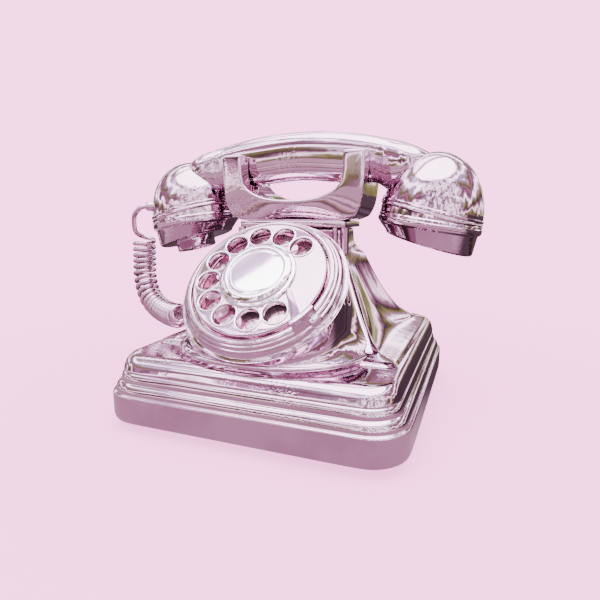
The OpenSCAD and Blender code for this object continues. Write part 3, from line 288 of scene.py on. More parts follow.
# ------------------------------------------------------------------ handset cord
# A sheathed spring cord: 3.3 mm wire wound into 22 curls 16.4 mm across. A short tail comes out of the bush at
# the mouthpiece, and the last curl runs into the gland in the housing's left side.
mm = 0.001
cord_d, curl_d, curls = 3.3, 16.4, 22
coil_route = [Vector(p) for p in (
    (-119.5, 0, 121), (-120.3, 0, 104.5), (-121.2, 0, 88), (-120, -2, 72), (-113.5, -6, 59.5), (-102, -11.5, 53),
    (-90, -18, 51.2), (-78, -26, 51.8), (-65.6, -32, 53.4), (-52, -31.4, 54.8))]
tail_route = [Vector(p) for p in ((-113, -14.5, 120.3), (-118.5, -11.5, 117.5), (-122.8, -7.5, 112.5))]
coil_side, coil_start, ease, run_in = Vector((-0.5, -0.86, 0)), 38, 0.5, 0.35
winding_r, axis_len = (curl_d - cord_d) / 2, len(coil_route) - 3
cap_x, cap_z, cap_tilt, cradle_y = 80, 115.8, 9, 6
bush_angle, bush_h, bush_rise, bush_r, bush_len = 216, 11, 8, 28.6, 3.4


def along(p, u):
    """The smooth curve through the points, u = 0 at the second."""
    k = max(0, min(floor(u), len(p) - 4))
    t = u - k
    a, b, c, d = p[k:k + 4]
    return 0.5 * (2 * b + (c - a) * t + (2 * a - 5 * b + 4 * c - d) * t * t + (3 * b - a - 3 * c + d) * t ** 3)


def heading(u):
    """The way that the coil's middle line runs at u."""
    return (along(coil_route, u + 0.01) - along(coil_route, u - 0.01)).normalized()


def bend(u):
    """How much the coil's middle line bends at u, per millimetre."""
    a, b = max(0, u - 0.12), min(axis_len, u + 0.12)
    return (heading(b) - heading(a)).length / (along(coil_route, b) - along(coil_route, a)).length


# The curls stand closer where the coil runs straight, and thin out where it starts and where it bends.
stretch = 1 / 20
shares = [0.0]
for i in range(20 * axis_len):
    u = (i + 0.5) * stretch
    step = (along(coil_route, u + stretch / 2) - along(coil_route, u - stretch / 2)).length
    shares.append(shares[-1] + step * (1 - winding_r * bend(u)) * min(1, u / ease))


def curl_point(share):
    """The wire's middle where this share of all curls lies behind it."""
    sought = share * shares[-1]
    k = min(bisect_right(shares, sought) - 1, len(shares) - 2)
    u = (k + (sought - shares[k]) / (shares[k + 1] - shares[k])) * stretch
    t = heading(u)
    e = (coil_side - coil_side.dot(t) * t).normalized()
    a, r = radians(coil_start + 360 * curls * share), winding_r * min(1, (axis_len - u) / run_in)
    return along(coil_route, u) + r * (cos(a) * e + sin(a) * t.cross(e))


cap_place = {side: Matrix.Translation((side * cap_x, cradle_y, cap_z))
             @ Matrix.Rotation(radians(side * cap_tilt), 4, "Y") for side in (-1, 1)}
bush_place = (cap_place[-1] @ Matrix.Rotation(radians(bush_angle), 4, "Z") @ Matrix.Translation((bush_r, 0, bush_h))
              @ Matrix.Rotation(radians(90 - bush_rise), 4, "Y"))
tail = [bush_place @ Vector((0, 0, bush_len)), bush_place @ Vector((0, 0, bush_len + cord_d)), *tail_route,
        curl_point(0), curl_point(1 / (8 * curls))]
gland_dir = (coil_route[-1] - coil_route[-3]).normalized()
gland_at = coil_route[-2] + (cord_d + 0.4) * gland_dir
tail_steps, coil_steps, loosened = 6, 24 * curls, 30
cord_line = ([tail[0]] + [along(tail, i / tail_steps) for i in range(tail_steps * (len(tail) - 3))]
             + [curl_point(i / coil_steps) for i in range(coil_steps + 1)] + [gland_at])
# The last curl loosens into the gland: its points are evened out between their neighbours, more towards the end.
for _ in range(120):
    for i in range(len(cord_line) - loosened, len(cord_line) - 1):
        loose = 0.5 * min(1, (i + 1 + loosened - len(cord_line)) / loosened)
        cord_line[i] = cord_line[i].lerp((cord_line[i - 1] + cord_line[i + 1]) / 2, loose)
for _ in range(6):
    for i in range(1, tail_steps * (len(tail) - 3) + 8):
        cord_line[i] = cord_line[i].lerp((cord_line[i - 1] + cord_line[i + 1]) / 2, 0.5)

wire = bpy.data.curves.new("handset_cord_line", "CURVE")
wire.dimensions = "3D"
wire.bevel_depth, wire.bevel_resolution, wire.use_fill_caps = cord_d / 2 * mm, 4, True
run = wire.splines.new("POLY")
run.points.add(len(cord_line) - 1)
for point, at in zip(run.points, cord_line):
    point.co = (*(at * mm), 1)
wire_object = bpy.data.objects.new("handset_cord_line", wire)
bpy.context.scene.collection.objects.link(wire_object)
bpy.context.view_layer.update()
cord_mesh = bpy.data.meshes.new_from_object(wire_object.evaluated_get(bpy.context.evaluated_depsgraph_get()))
bpy.data.objects.remove(wire_object)
cord_mesh.shade_smooth()
cord_mesh.materials.clear()
cord_mesh.materials.append(pink_chrome)
curly_cord = bpy.data.objects.new("curly_cord", cord_mesh)
bpy.context.scene.collection.objects.link(curly_cord)
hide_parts("handset_cord")
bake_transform(curly_cord)


# ------------------------------------------------------------------ base
# A pressed steel plate closes the housing from below, held by four screws that go through rubber feet into
# the housing's bosses.


def cast(bm, name, finish, place=Matrix(), crease=30):
    """The finished piece: turned into place, in metres, smooth but for its creases."""
    bmesh.ops.transform(bm, matrix=Matrix.Scale(mm, 4) @ place, verts=bm.verts)
    mesh = bpy.data.meshes.new(name)
    bm.to_mesh(mesh)
    bm.free()
    mesh.shade_smooth()
    mesh.set_sharp_from_angle(angle=radians(crease))
    mesh.materials.append(finish)
    made = bpy.data.objects.new(name, mesh)
    bpy.context.scene.collection.objects.link(made)
    return made


def turned(bm, profile, steps=128, closed=True, place=Matrix()):
    """A profile of radius and height turned round the upright axis."""
    corners = [bm.verts.new((r, 0, z)) for r, z in profile]
    pairs = list(zip(corners, corners[1:])) + ([(corners[-1], corners[0])] if closed else [])
    edges = [bm.edges.new(pair) for pair in pairs]
    bmesh.ops.spin(bm, geom=corners + edges, cent=(0, 0, 0), axis=(0, 0, 1), dvec=(0, 0, 0),
                   angle=2 * pi, steps=steps, use_merge=True)
    bmesh.ops.remove_doubles(bm, verts=[v for v in bm.verts if not v.tag], dist=0.001)
    new = [v for v in bm.verts if not v.tag]
    faces = list(dict.fromkeys(f for v in new for f in v.link_faces))
    bmesh.ops.recalc_face_normals(bm, faces=faces)
    bmesh.ops.transform(bm, matrix=place, verts=new)
    for v in new:
        v.tag = True
    return faces


def soften(bm, width, segments=3, angle=28):
    """Rounds every edge sharper than the angle."""
    sharp = [e for e in bm.edges if len(e.link_faces) == 2 and e.calc_face_angle(0) > radians(angle)]
    bmesh.ops.bevel(bm, geom=sharp, offset=width, offset_type="OFFSET", segments=segments, profile=0.5,
                    affect="EDGES", clamp_overlap=True, material=-1)


def plain_finish(name, tones, rough, metallic=0.0, scale=120, bump=0.1):
    """A cast, pressed or moulded finish: two tones, a drifting gloss and a fine grain."""
    finish = bpy.data.materials.new(name)
    nodes, links = nodes_of(finish)
    where = nodes.new("ShaderNodeTexCoord")
    drift = nodes.new("ShaderNodeTexNoise")
    drift.inputs["Scale"].default_value = scale
    drift.inputs["Detail"].default_value = 6
    tone = ramp_of(nodes, [(0.3, tones[0]), (0.7, tones[1])])
    haze = nodes.new("ShaderNodeMapRange")
    haze.inputs["To Min"].default_value, haze.inputs["To Max"].default_value = rough
    relief = nodes.new("ShaderNodeBump")
    relief.inputs["Strength"].default_value = bump
    relief.inputs["Distance"].default_value = 0.0003
    body = nodes.new("ShaderNodeBsdfPrincipled")
    body.inputs["Metallic"].default_value = metallic
    out = nodes.new("ShaderNodeOutputMaterial")
    links.new(where.outputs["Object"], drift.inputs["Vector"])
    links.new(drift.outputs["Fac"], tone.inputs["Fac"])
    links.new(drift.outputs["Fac"], haze.inputs["Value"])
    links.new(drift.outputs["Fac"], relief.inputs["Height"])
    links.new(tone.outputs["Color"], body.inputs["Base Color"])
    links.new(haze.outputs["Result"], body.inputs["Roughness"])
    links.new(relief.outputs["Normal"], body.inputs["Normal"])
    links.new(body.outputs["BSDF"], out.inputs["Surface"])
    return finish


def dress(finish, *names):
    """Gives CAD nodes that stay a finish in place of their plain one."""
    for name in names:
        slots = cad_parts[name].material_slots
        for slot in slots:
            slot.material = finish
        if not slots:
            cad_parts[name].data.materials.append(finish)


pressed_steel = plain_finish("pressed_steel", ((0.42, 0.41, 0.42), (0.60, 0.58, 0.59)), (0.25, 0.45), 1.0, 260)
black_rubber = plain_finish("black_rubber", ((0.018, 0.016, 0.017), (0.035, 0.03, 0.032)), (0.6, 0.85), 0.0, 900, 0.4)
dress(pressed_steel, "base_plate", "base_screws")

foot_h, foot_d, foot_x, foot_y = 5, 30, 62, 67
bm = bmesh.new()
for x in (-foot_x, foot_x):
    for y in (-foot_y, foot_y):
        turned(bm, [(4.2, 0.3), (foot_d / 2 - 1.6, 0), (foot_d / 2 - 1, 0.4), (foot_d / 2, foot_h - 0.6),
                    (foot_d / 2 - 0.3, foot_h), (1.8, foot_h), (1.8, foot_h - 2), (4.2, foot_h - 2)], 64,
               place=Matrix.Translation((x, y, 0)))
soften(bm, 0.25, 2)
feet = cast(bm, "round_feet", black_rubber)
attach(feet, "telephone")
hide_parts("rubber_feet")

# ------------------------------------------------------------------ housing
# One die-cast shell, polished and plated: a stepped plinth with rounded corners, a flat shoulder, and a body
# that flares in to the neck under the cradle.
half_w, half_d, corner_r, skirt_z, neck_top, wall = 85, 91.5, 21, 21, 110, 2.6


def plinth(z, i):
    """The row of one hoop of the plinth, drawn in by i at a height."""
    return (z, half_w - i, -(half_d - i), corner_r - 0.75 * i, half_w - i, half_d - i, corner_r - 0.75 * i, 0, 0)


skirt = [plinth(foot_h, 1.6), plinth(foot_h + 0.2, 1.1), plinth(foot_h + 1, 0.5), plinth(foot_h + 2.4, 0),
         plinth(foot_h + 6, 0), plinth(skirt_z - 3, 0), plinth(skirt_z - 1.2, 0), plinth(skirt_z - 0.4, 0.3),
         plinth(skirt_z - 0.05, 0.9), plinth(skirt_z, 1.5)]
steps = [plinth(skirt_z + rise, inset) for rise, inset in (
    (0.1, 1.6), (0.3, 1.7), (1.2, 1.75), (2.4, 2), (3.6, 2.5), (4.6, 3.2), (5.2, 3.9), (5.4, 4.4), (5.6, 4.6),
    (5.8, 4.65), (6.8, 4.7), (8, 4.9), (9.2, 5.3), (10, 5.75), (10.4, 6.15), (10.6, 6.4), (10.8, 6.4))]
shoulder = [(32.2, 79, -85.4, 16, 79, 86, 16, 0, 0), (34, 78.4, -84.5, 15, 78.8, 85.7, 15, 0, 0),
            (36.8, 77.8, -83.3, 14, 78.2, 85.3, 15, 0, 0), (39, 76.6, -81.3, 13, 77.4, 84.5, 14, 0, 0),
            (40.3, 75.2, -78.7, 11, 76.4, 83.5, 14, 0, 0), (40.7, 74, -75, 9, 76, 83.1, 13, 0, 0)]
top = [(40.86, 73.7, -60, 7, 75.8, 82.9, 13, 0, 0), (40.95, 73.4, -54.6, 7, 75.6, 82.7, 13, 0, 0),
       (41.4, 72.7, -53.2, 6.5, 74.9, 82, 12.5, 0, 0.1), (42.8, 71, -51.5, 6, 73.8, 80.7, 12, 0.1, 0.2),
       (43.8, 67, -47.8, 5, 71, 77.5, 12, 0.6, 1), (44.7, 63, -44.4, 4, 67.8, 73.5, 12, 1.5, 2)]
body = [(46, 60.6, -41.8, 4, 65.3, 71, 12, 3, 4), (50, 56.6, -37.7, 4, 61.2, 62, 11, 4, 5),
        (56, 53.1, -33.8, 4, 56.4, 52, 10, 4.5, 5), (64, 48.9, -29, 4, 51.8, 42.5, 9, 4.5, 5),
        (72, 44.7, -24, 4, 48, 35, 8, 3.5, 4), (80, 40.6, -19, 4, 44.6, 29.3, 7, 2.5, 3),
        (87, 37, -14.8, 4, 41.8, 25.3, 6, 1.4, 1.5), (92, 34.5, -12.4, 3.5, 39.6, 22.8, 5.5, 0.7, 0.6),
        (95.4, 33.4, -12.2, 3, 36.8, 21.2, 5, 0.3, 0.2), (98, 32.8, -11.8, 3, 33.6, 20.2, 4, 0, 0),
        (101, 32.2, -11.6, 3, 31.8, 19.6, 4, 0, 0), (109, 32.2, -11.6, 3, 31.6, 19.6, 4, 0, 0),
        (neck_top, 32.2, -11.6, 3, 31.6, 19.6, 4, 0, 0)]


def outline(row, arc_points=7, side_points=6):
    """One hoop of the housing: four rounded corners and sides that bow in."""
    z, xf, yf, rf, xr, yr, rr, side_bow, rear_bow = row

    def corner(cx, cy, r, a0):
        return [Vector((cx + r * cos(radians(a0 + 90 * i / (arc_points - 1))),
                        cy + r * sin(radians(a0 + 90 * i / (arc_points - 1))), z)) for i in range(arc_points)]

    def side(a, b, bow):
        return [Vector((*a, z)).lerp(Vector((*b, z)), t) + Vector((*bow, 0)) * 4 * t * (1 - t)
                for t in [k / (side_points + 1) for k in range(1, side_points + 1)]]

    return (corner(xf - rf, yf + rf, rf, -90) + side((xf, yf + rf), (xr, yr - rr), (-side_bow, 0))
            + corner(xr - rr, yr - rr, rr, 0) + side((xr - rr, yr), (rr - xr, yr), (0, -rear_bow))
            + corner(rr - xr, yr - rr, rr, 90) + side((-xr, yr - rr), (-xf, yf + rf), (side_bow, 0))
            + corner(rf - xf, yf + rf, rf, 180) + side((rf - xf, yf), (xf - rf, yf), (0, 0)))


def loft(bm, hoops, ends=(True, True)):
    """Bridges closed hoops of points one after the other, and closes the ends."""
    loops = []
    for points in hoops:
        corners = [bm.verts.new(p) for p in points]
        loops.append([bm.edges.new((corners[i - 1], corners[i])) for i in range(len(corners))])
    for low, high in zip(loops, loops[1:]):
        bmesh.ops.bridge_loops(bm, edges=low + high)
    for loop, close in ((loops[0], ends[0]), (loops[-1], ends[1])):
        if close:
            bmesh.ops.contextual_create(bm, geom=loop)
    bmesh.ops.recalc_face_normals(bm, faces=bm.faces)
    for v in bm.verts:
        v.tag = True


def rounded_off(piece, levels):
    """Subdivides a piece smoothly, once and for all."""
    smooth = piece.modifiers.new("smooth", "SUBSURF")
    smooth.levels = smooth.render_levels = levels
    settle(piece)


def settle(piece):
    """Applies a piece's modifiers to its mesh."""
    bpy.context.view_layer.update()
    mesh = bpy.data.meshes.new_from_object(piece.evaluated_get(bpy.context.evaluated_depsgraph_get()))
    piece.modifiers.clear()
    old, piece.data = piece.data, mesh
    bpy.data.meshes.remove(old)


dial_place = Matrix.Translation((0, -59.6, 86.3)) @ Matrix.Rotation(radians(90 - 45.4), 4, "X")
case_r, well_low, well_high, rib_low, rib_high = 40, -56, -6, 94, 109.9
bm = bmesh.new()
loft(bm, [outline(row) for row in skirt + steps + shoulder + top + body], (False, True))
housing = cast(bm, "plated_housing", pink_chrome)
rounded_off(housing, 2)
bm = bmesh.new()
bm.from_mesh(housing.data)
to_dial = (Matrix.Scale(mm, 4) @ dial_place).inverted()


def in_well(point):
    """Whether a point lies in the round well for the dial's case."""
    p = to_dial @ point
    return p.xy.length < case_r + 2 and well_low < p.z < well_high


bmesh.ops.delete(bm, geom=[f for f in bm.faces if in_well(f.calc_center_median())], context="FACES")
bm.to_mesh(housing.data)
bm.free()
shell = housing.modifiers.new("wall", "SOLIDIFY")
shell.thickness, shell.offset = wall * mm, -1
settle(housing)
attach(housing, "telephone")
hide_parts("housing_shell")

# Two slim half-round ribs stand at each front corner of the neck, cast in one with the housing.
bm = bmesh.new()
for x, r, y in ((33.7, 2.5, -12), (28.1, 1.5, -13.2)):
    for side in (-1, 1):
        turned(bm, [(0.01, rib_low), (r * 0.6, rib_low + 0.1), (r * 0.95, rib_low + 1), (r, rib_low + 2.4),
                    (r, rib_high), (0.01, rib_high)], 32,
               place=Matrix.Translation((side * x, y, 0)))
ribs = cast(bm, "neck_ribs", pink_chrome)
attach(ribs, "telephone")

# ------------------------------------------------------------------ dial cowl
# The cowl carries the dial: a round seat that flares out in a hollow curve to a rolled lip on the shoulder and to
# a rolled edge up each side of the body, cast and plated like the housing and set against its front.
seat_w, bezel_r, roll_r, hoop_points, middle_of_body = -10, 46.7, 1.4, 192, -32
lip_half, lip_deep, lip_y, lip_z, lip_power, lip_side = 57.9, 62, 20, 43.4, 0.8, 19
neck_corner, neck_turn, edge_bow, edge_in = Vector((33.4, -14.5, 92)), 40, Vector((-1, -3, 0)), (0.9, -0.3, 0.3)
lip_turn, lip_lead, lip_run, tucked = 108.5, 9, 14, -3.4
lip_start = degrees(asin((lip_side / lip_deep) ** (1 / lip_power)))


def flare_end(turn):
    """The rolled edge's middle, its side towards the seat and its outer side, so many degrees from the top."""
    seat_at = dial_place @ Vector((bezel_r * sin(radians(turn)), bezel_r * cos(radians(turn)), seat_w))
    a = radians(lip_start + (90 - lip_start) * max(0, turn - lip_turn) / (180 - lip_turn))
    lip_at = Vector((lip_half * abs(cos(a)) ** lip_power, -lip_y - lip_deep * sin(a) ** lip_power, lip_z))
    if turn < neck_turn:
        at = Vector((0, neck_corner.y, neck_corner.z)).lerp(neck_corner, turn / neck_turn)
    elif turn < lip_turn:
        u = (turn - neck_turn) / (lip_turn - neck_turn)
        at = neck_corner.lerp(lip_at, u) + 4 * u * (1 - u) * edge_bow
    else:
        at = lip_at
    near_lip = min(1, max(0, (turn - lip_turn + lip_lead) / lip_run))
    inner = Vector(edge_in).lerp(Vector((0, 0, 1)), near_lip).normalized()
    outer = (at - seat_at).normalized().lerp(Vector((at.x, (at.y + lip_y) * 0.8, 0)).normalized(), near_lip)
    return at, inner, (outer - outer.dot(inner) * inner).normalized()


def flare_hoop(step, across=0.0, up=0.0):
    """One hoop of the cowl, a share of the way from the seat to the rolled edge, or set off from that edge."""
    hoop = []
    for i in range(hoop_points):
        turn = 360 * (i + 0.5) / hoop_points
        side, turn = (1, turn) if turn < 180 else (-1, 360 - turn)
        at, inner, outer = flare_end(turn)
        if step < 1:
            a = radians(turn)
            start = dial_place @ Vector(((bezel_r + 0.3) * sin(a), (bezel_r + 0.3) * cos(a), seat_w))
            end = at + roll_r * (0.94 * inner - 0.34 * outer)
            hollow = (0.4 + 0.09 * (end - start).length) * 4 * step * (1 - step) * min(1, max(0, turn - 20) / 30)
            at = start.lerp(end, step)
            at = at + hollow * Vector((-at.x, middle_of_body - at.y, 0)).normalized()
        else:
            at = at + across * outer + up * inner
        hoop.append(Vector((side * at.x, at.y, at.z)))
    return hoop


def seat_hoop(r, w):
    """A round hoop in the dial's frame, with as many points as the flare's."""
    turns = [2 * pi * (i + 0.5) / hoop_points for i in range(hoop_points)]
    return [dial_place @ Vector((r * sin(a), r * cos(a), w)) for a in turns]


rolled = [(roll_r * sin(radians(a)), roll_r * cos(radians(a))) for a in (-20, 10, 40, 70, 100, 130, 160)]
bm = bmesh.new()
loft(bm, [seat_hoop(case_r + 0.6, seat_w), seat_hoop(bezel_r - 0.4, seat_w)]
     + [flare_hoop(k / 12) for k in range(12)] + [flare_hoop(1, *place) for place in rolled]
     + [flare_hoop(1, -1, tucked), flare_hoop(1, -4.5, tucked), seat_hoop(case_r + 0.6, seat_w - 2.6)],
     (False, False))
open_edges = [e for e in bm.edges if e.is_boundary]
bmesh.ops.bridge_loops(bm, edges=open_edges)
bmesh.ops.recalc_face_normals(bm, faces=bm.faces)
cowl = cast(bm, "dial_cowl_flare", pink_chrome, crease=50)
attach(cowl, "telephone")
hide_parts("dial_cowl")

# ------------------------------------------------------------------ cradle
# A U-shaped plated casting on a flange over the neck. Its four horns hold the handset, and a shallow notch
# between the front and rear horns carries the grip.
notch_z, horn_top = 136.6, 154
cradle_low, front_in, front_rise, rear_in, rear_rise = neck_top + 3.4, 3, 9, 6, 14
stations = [((0, 113.4), (0, 126.2)), ((14, 113.4), (11, 126.6)), ((26, 113.4), (20, 128.4)),
            ((34, 113.9), (26, 131.2)), ((40.4, 116.7), (29.4, 133.9)), ((44, 124), (30.6, 135.6)),
            ((45.0, notch_z), (31.4, notch_z)), ((45.3, 141), (32.3, 141)), ((45.5, 148), (32.5, 148)),
            ((45.5, horn_top), (32.5, horn_top))]
bm = bmesh.new()
front_y, horn_back, middle_y = cradle_y - 21, cradle_y - 10, cradle_y
rows = [[bm.verts.new((side * p[0], front_y, p[1])) for p in pair] for side, pair in
        [(-1, s) for s in reversed(stations[1:])] + [(1, s) for s in stations]]
face_row = [bm.faces.new((a[0], b[0], b[1], a[1])) for a, b in zip(rows, rows[1:])]


def drawn_out(bm, faces, by):
    """Draws faces out by a vector; gives the faces at the far end."""
    drawn = bmesh.ops.extrude_face_region(bm, geom=faces)["geom"]
    bmesh.ops.translate(bm, vec=by, verts=[g for g in drawn if isinstance(g, bmesh.types.BMVert)])
    return [g for g in drawn if isinstance(g, bmesh.types.BMFace)]


low = [f for f in drawn_out(bm, face_row, (0, horn_back - front_y, 0)) if f.calc_center_median().z < notch_z]
cut = drawn_out(bm, low, (0, middle_y - horn_back, 0))
bmesh.ops.delete(bm, geom=cut + low, context="FACES")
bmesh.ops.mirror(bm, geom=list(bm.verts) + list(bm.edges) + list(bm.faces),
                 matrix=Matrix.Translation((0, -middle_y, 0)), merge_dist=0.01, axis="Y")
bmesh.ops.remove_doubles(bm, verts=bm.verts, dist=0.01)
bmesh.ops.recalc_face_normals(bm, faces=bm.faces)
# The foot draws in to the flange, more at the rear than at the front
for v in bm.verts:
    h = v.co.z - cradle_low
    if v.co.y < front_y + 1:
        v.co.y += front_in * max(0, 1 - h / front_rise) ** 1.6
    if v.co.y > 2 * middle_y - front_y - 1:
        v.co.y -= rear_in * max(0, 1 - h / rear_rise) ** 1.6
soften(bm, 3, 3, 40)
cradle = cast(bm, "handset_cradle", pink_chrome)
rounded_off(cradle, 2)
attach(cradle, "telephone")
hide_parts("cradle")

bm = bmesh.new()
bmesh.ops.create_cube(bm, size=1, matrix=Matrix.Translation((0, cradle_y - 2.6, neck_top + 1.8))
                      @ Matrix.Diagonal((69.6, 35.2, 3.6, 1)))
upright = [e for e in bm.edges if abs((e.verts[0].co - e.verts[1].co).normalized().z) > 0.9]
bmesh.ops.bevel(bm, geom=upright, offset=3, offset_type="OFFSET", segments=8, profile=0.5, affect="EDGES",
                clamp_overlap=True, material=-1)
soften(bm, 0.5, 3, 40)
flange = cast(bm, "cradle_flange", pink_chrome)
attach(flange, "telephone")

dress(pressed_steel, "cradle_screws", "cradle_plunger", "hookswitch_bracket")

# ------------------------------------------------------------------ dial
# The dial sits in a steel case: a number plate, a plated finger wheel with ten rimmed holes, a stepped hub with
# a blank mirror disc, and a stepped bezel that carries the finger stop.
wheel_r, wheel_t, wheel_gap, bezel_h, hub_r, hub_h, disc_r = 37.2, 2.2, 1.2, 8.6, 21.5, 4, 15.2
bright_chrome = plating("bright_chrome", (0.95, 0.86, 0.92), (0.86, 0.72, 0.82), (0.02, 0.06), 0.05, 0.0)
dark_chrome = plating("dark_chrome", (0.74, 0.43, 0.56), (0.50, 0.24, 0.35), (0.06, 0.14), 1.6, 0.2, 0.85)
r0 = wheel_r + wheel_gap
bm = bmesh.new()
turned(bm, [(case_r + 0.1, seat_w), (bezel_r, seat_w), (bezel_r - 0.1, seat_w + 0.4), (bezel_r - 1.2, seat_w + 0.8),
            (bezel_r - 2.2, seat_w + 1.6), (bezel_r - 2.9, seat_w + 2.7), (bezel_r - 3.1, seat_w + 3.5),
            (bezel_r - 2.7, seat_w + 3.8), (bezel_r - 2.6, seat_w + 4.4), (bezel_r - 3.1, seat_w + 4.9),
            (bezel_r - 3.8, seat_w + 5), (bezel_r - 4, seat_w + 5.9), (bezel_r - 4.7, seat_w + 6.7),
            (bezel_r - 5.4, seat_w + 6.8), (bezel_r - 5.6, seat_w + 7.5), (bezel_r - 6.4, seat_w + 8.1),
            (r0 + 0.9, seat_w + 8.1), (r0 + 0.6, seat_w + bezel_h), (r0, seat_w + bezel_h - 0.4), (r0, seat_w + 1.6),
            (case_r + 0.1, seat_w + 1.6)], 180)
soften(bm, 0.12, 2)
bezel = cast(bm, "stepped_bezel", pink_chrome, dial_place)
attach(bezel, "telephone")
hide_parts("dial_bezel")

# Number plate: a dished disc under the wheel, dark plated, with plain figures under the holes.
hole_ring_r, hole_d, first_hole, hole_step = 28, 12.4, 47.1, 28.9
plate_w = -5.6
bm = bmesh.new()
turned(bm, [(5, plate_w - 0.8), (37.6, plate_w - 0.8), (37.6, plate_w), (5, plate_w)], 128)
soften(bm, 0.2, 2)
plate = cast(bm, "number_disc", dark_chrome, dial_place)
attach(plate, "telephone")
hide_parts("number_plate")

# Plain figures stand on the plate, one under each hole: 1 at the upper right, round to 0 at the bottom.
ink = plain_finish("figure_enamel", ((0.80, 0.66, 0.74), (0.92, 0.80, 0.87)), (0.25, 0.4))
bm = bmesh.new()
for k in range(10):
    sign = bpy.data.curves.new("figure", "FONT")
    sign.body, sign.size, sign.extrude = str((k + 1) % 10), 5, 0.06
    sign.align_x, sign.align_y = "CENTER", "CENTER"
    stamp = bpy.data.objects.new("figure", sign)
    bpy.context.scene.collection.objects.link(stamp)
    bpy.context.view_layer.update()
    shape = bpy.data.meshes.new_from_object(stamp.evaluated_get(bpy.context.evaluated_depsgraph_get()))
    a = radians(first_hole + k * hole_step)
    shape.transform(Matrix.Translation((hole_ring_r * cos(a), hole_ring_r * sin(a), plate_w + 0.05)))
    bm.from_mesh(shape)
    bpy.data.objects.remove(stamp)
figures = cast(bm, "dial_figures", ink, dial_place)
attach(figures, "telephone")

# Finger wheel: a pressed disc with a turned rim; ten holes, each with a raised bright ring.
bm = bmesh.new()
turned(bm, [(3.02, -wheel_t), (wheel_r - 1.8, -wheel_t), (wheel_r - 1.8, -wheel_t - 1.6),
            (wheel_r - 0.6, -wheel_t - 1.6), (wheel_r, -wheel_t - 0.6), (wheel_r, -1.2), (wheel_r - 0.5, -0.3),
            (wheel_r - 1.4, 0), (3.02, 0)], 128)
wheel = cast(bm, "ten_hole_wheel", pink_chrome, dial_place)
bm = bmesh.new()
for k in range(10):
    spot = Matrix.Rotation(radians(first_hole + k * hole_step), 4, "Z") @ Matrix.Translation((hole_ring_r, 0, 0))
    bmesh.ops.create_cone(bm, cap_ends=True, segments=64, radius1=hole_d / 2 + 0.3, radius2=hole_d / 2 + 0.3,
                          depth=12, matrix=spot)
punch = cast(bm, "punch", pink_chrome, dial_place)
holes = wheel.modifiers.new("holes", "BOOLEAN")
holes.object, holes.operation, holes.solver = punch, "DIFFERENCE", "EXACT"
settle(wheel)
bpy.data.objects.remove(punch)
wheel.data.shade_smooth()
wheel.data.set_sharp_from_angle(angle=radians(30))
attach(wheel, "dial")
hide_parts("finger_wheel")

bm = bmesh.new()
for k in range(10):
    spot = Matrix.Rotation(radians(first_hole + k * hole_step), 4, "Z") @ Matrix.Translation((hole_ring_r, 0, 0))
    r = hole_d / 2
    turned(bm, [(r, -wheel_t), (r + 0.5, -wheel_t), (r + 0.5, -0.2), (r + 1.3, 0.02), (r + 1.2, 0.35),
                (r + 0.85, 0.62), (r + 0.45, 0.62), (r + 0.1, 0.35), (r, 0)], 64, place=spot)
rims = cast(bm, "hole_rims", bright_chrome, dial_place, crease=50)
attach(rims, "dial")

# Hub: a turned ring with two steps, and a plain mirror disc pressed into it.
bm = bmesh.new()
turned(bm, [(3.02, 0), (hub_r, 0), (hub_r, 0.8), (hub_r - 0.7, 1.5), (hub_r - 2, 1.8), (hub_r - 2.4, 2.8),
            (hub_r - 3.2, hub_h - 0.7), (hub_r - 4.2, hub_h), (disc_r + 0.6, hub_h), (disc_r + 0.02, hub_h - 0.5),
            (disc_r + 0.02, hub_h - 1.6), (3.02, hub_h - 1.6)])
soften(bm, 0.22, 3)
hub = cast(bm, "stepped_hub", bright_chrome, dial_place)
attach(hub, "dial")
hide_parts("hub_ring")

white_chrome = plating("white_chrome", (0.97, 0.94, 0.96), (0.92, 0.86, 0.91), (0.03, 0.07), 0.03, 0.0)
bm = bmesh.new()
bmesh.ops.create_circle(bm, cap_ends=True, radius=disc_r, segments=128,
                        matrix=Matrix.Translation((0, 0, hub_h - 1.6)))
crown = drawn_out(bm, list(bm.faces), (0, 0, 0.9))
bmesh.ops.inset_region(bm, faces=crown, thickness=2.2, depth=0.5, use_even_offset=True)
bmesh.ops.recalc_face_normals(bm, faces=bm.faces)
soften(bm, 0.25, 3, 8)
blank = cast(bm, "blank_disc", white_chrome, dial_place)
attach(blank, "dial")
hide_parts("hub_disc")


# Finger stop: a small pressed hook over the wheel's rim, screwed to the bezel.
def recast(node, name, finish, bevel=0.0):
    """A merged and softened copy of a CAD node."""
    bm = bmesh.new()
    bm.from_mesh(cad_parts[node].data)
    bmesh.ops.scale(bm, vec=(1000, 1000, 1000), verts=bm.verts)
    bmesh.ops.remove_doubles(bm, verts=bm.verts, dist=0.002)
    bmesh.ops.dissolve_limit(bm, angle_limit=radians(0.3), verts=bm.verts, edges=bm.edges)
    if bevel:
        soften(bm, bevel, 2)
    return cast(bm, name, finish)


stop = recast("finger_stop", "stop_hook", pink_chrome, 0.15)
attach(stop, "telephone")
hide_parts("finger_stop")
dress(pressed_steel, "finger_stop_screw", "dial_case", "dial_back_plate", "dial_shaft")

# ------------------------------------------------------------------ handset
# The handset is cast hollow and plated: an arched grip between two domes. Threaded caps close the domes over
# the capsules; the left one carries a flared mouthpiece.
dome_r, dome_h, dome_tilt, dome_curve, cap_h, face_r, face_tilt = 29, 37, 8, 2.04, 15, 25.5, 7
bead_z, bead_tilt, collar_h = 4, 6, 6
grip_top, grip_arch_r, grip_w, grip_x, grip_end_z, cradle_r = 168.3, 224, 19, 78, 132, 45.5
spread_x, spread_run, spread_by, spread_end = 49, 19, 5.5, 69


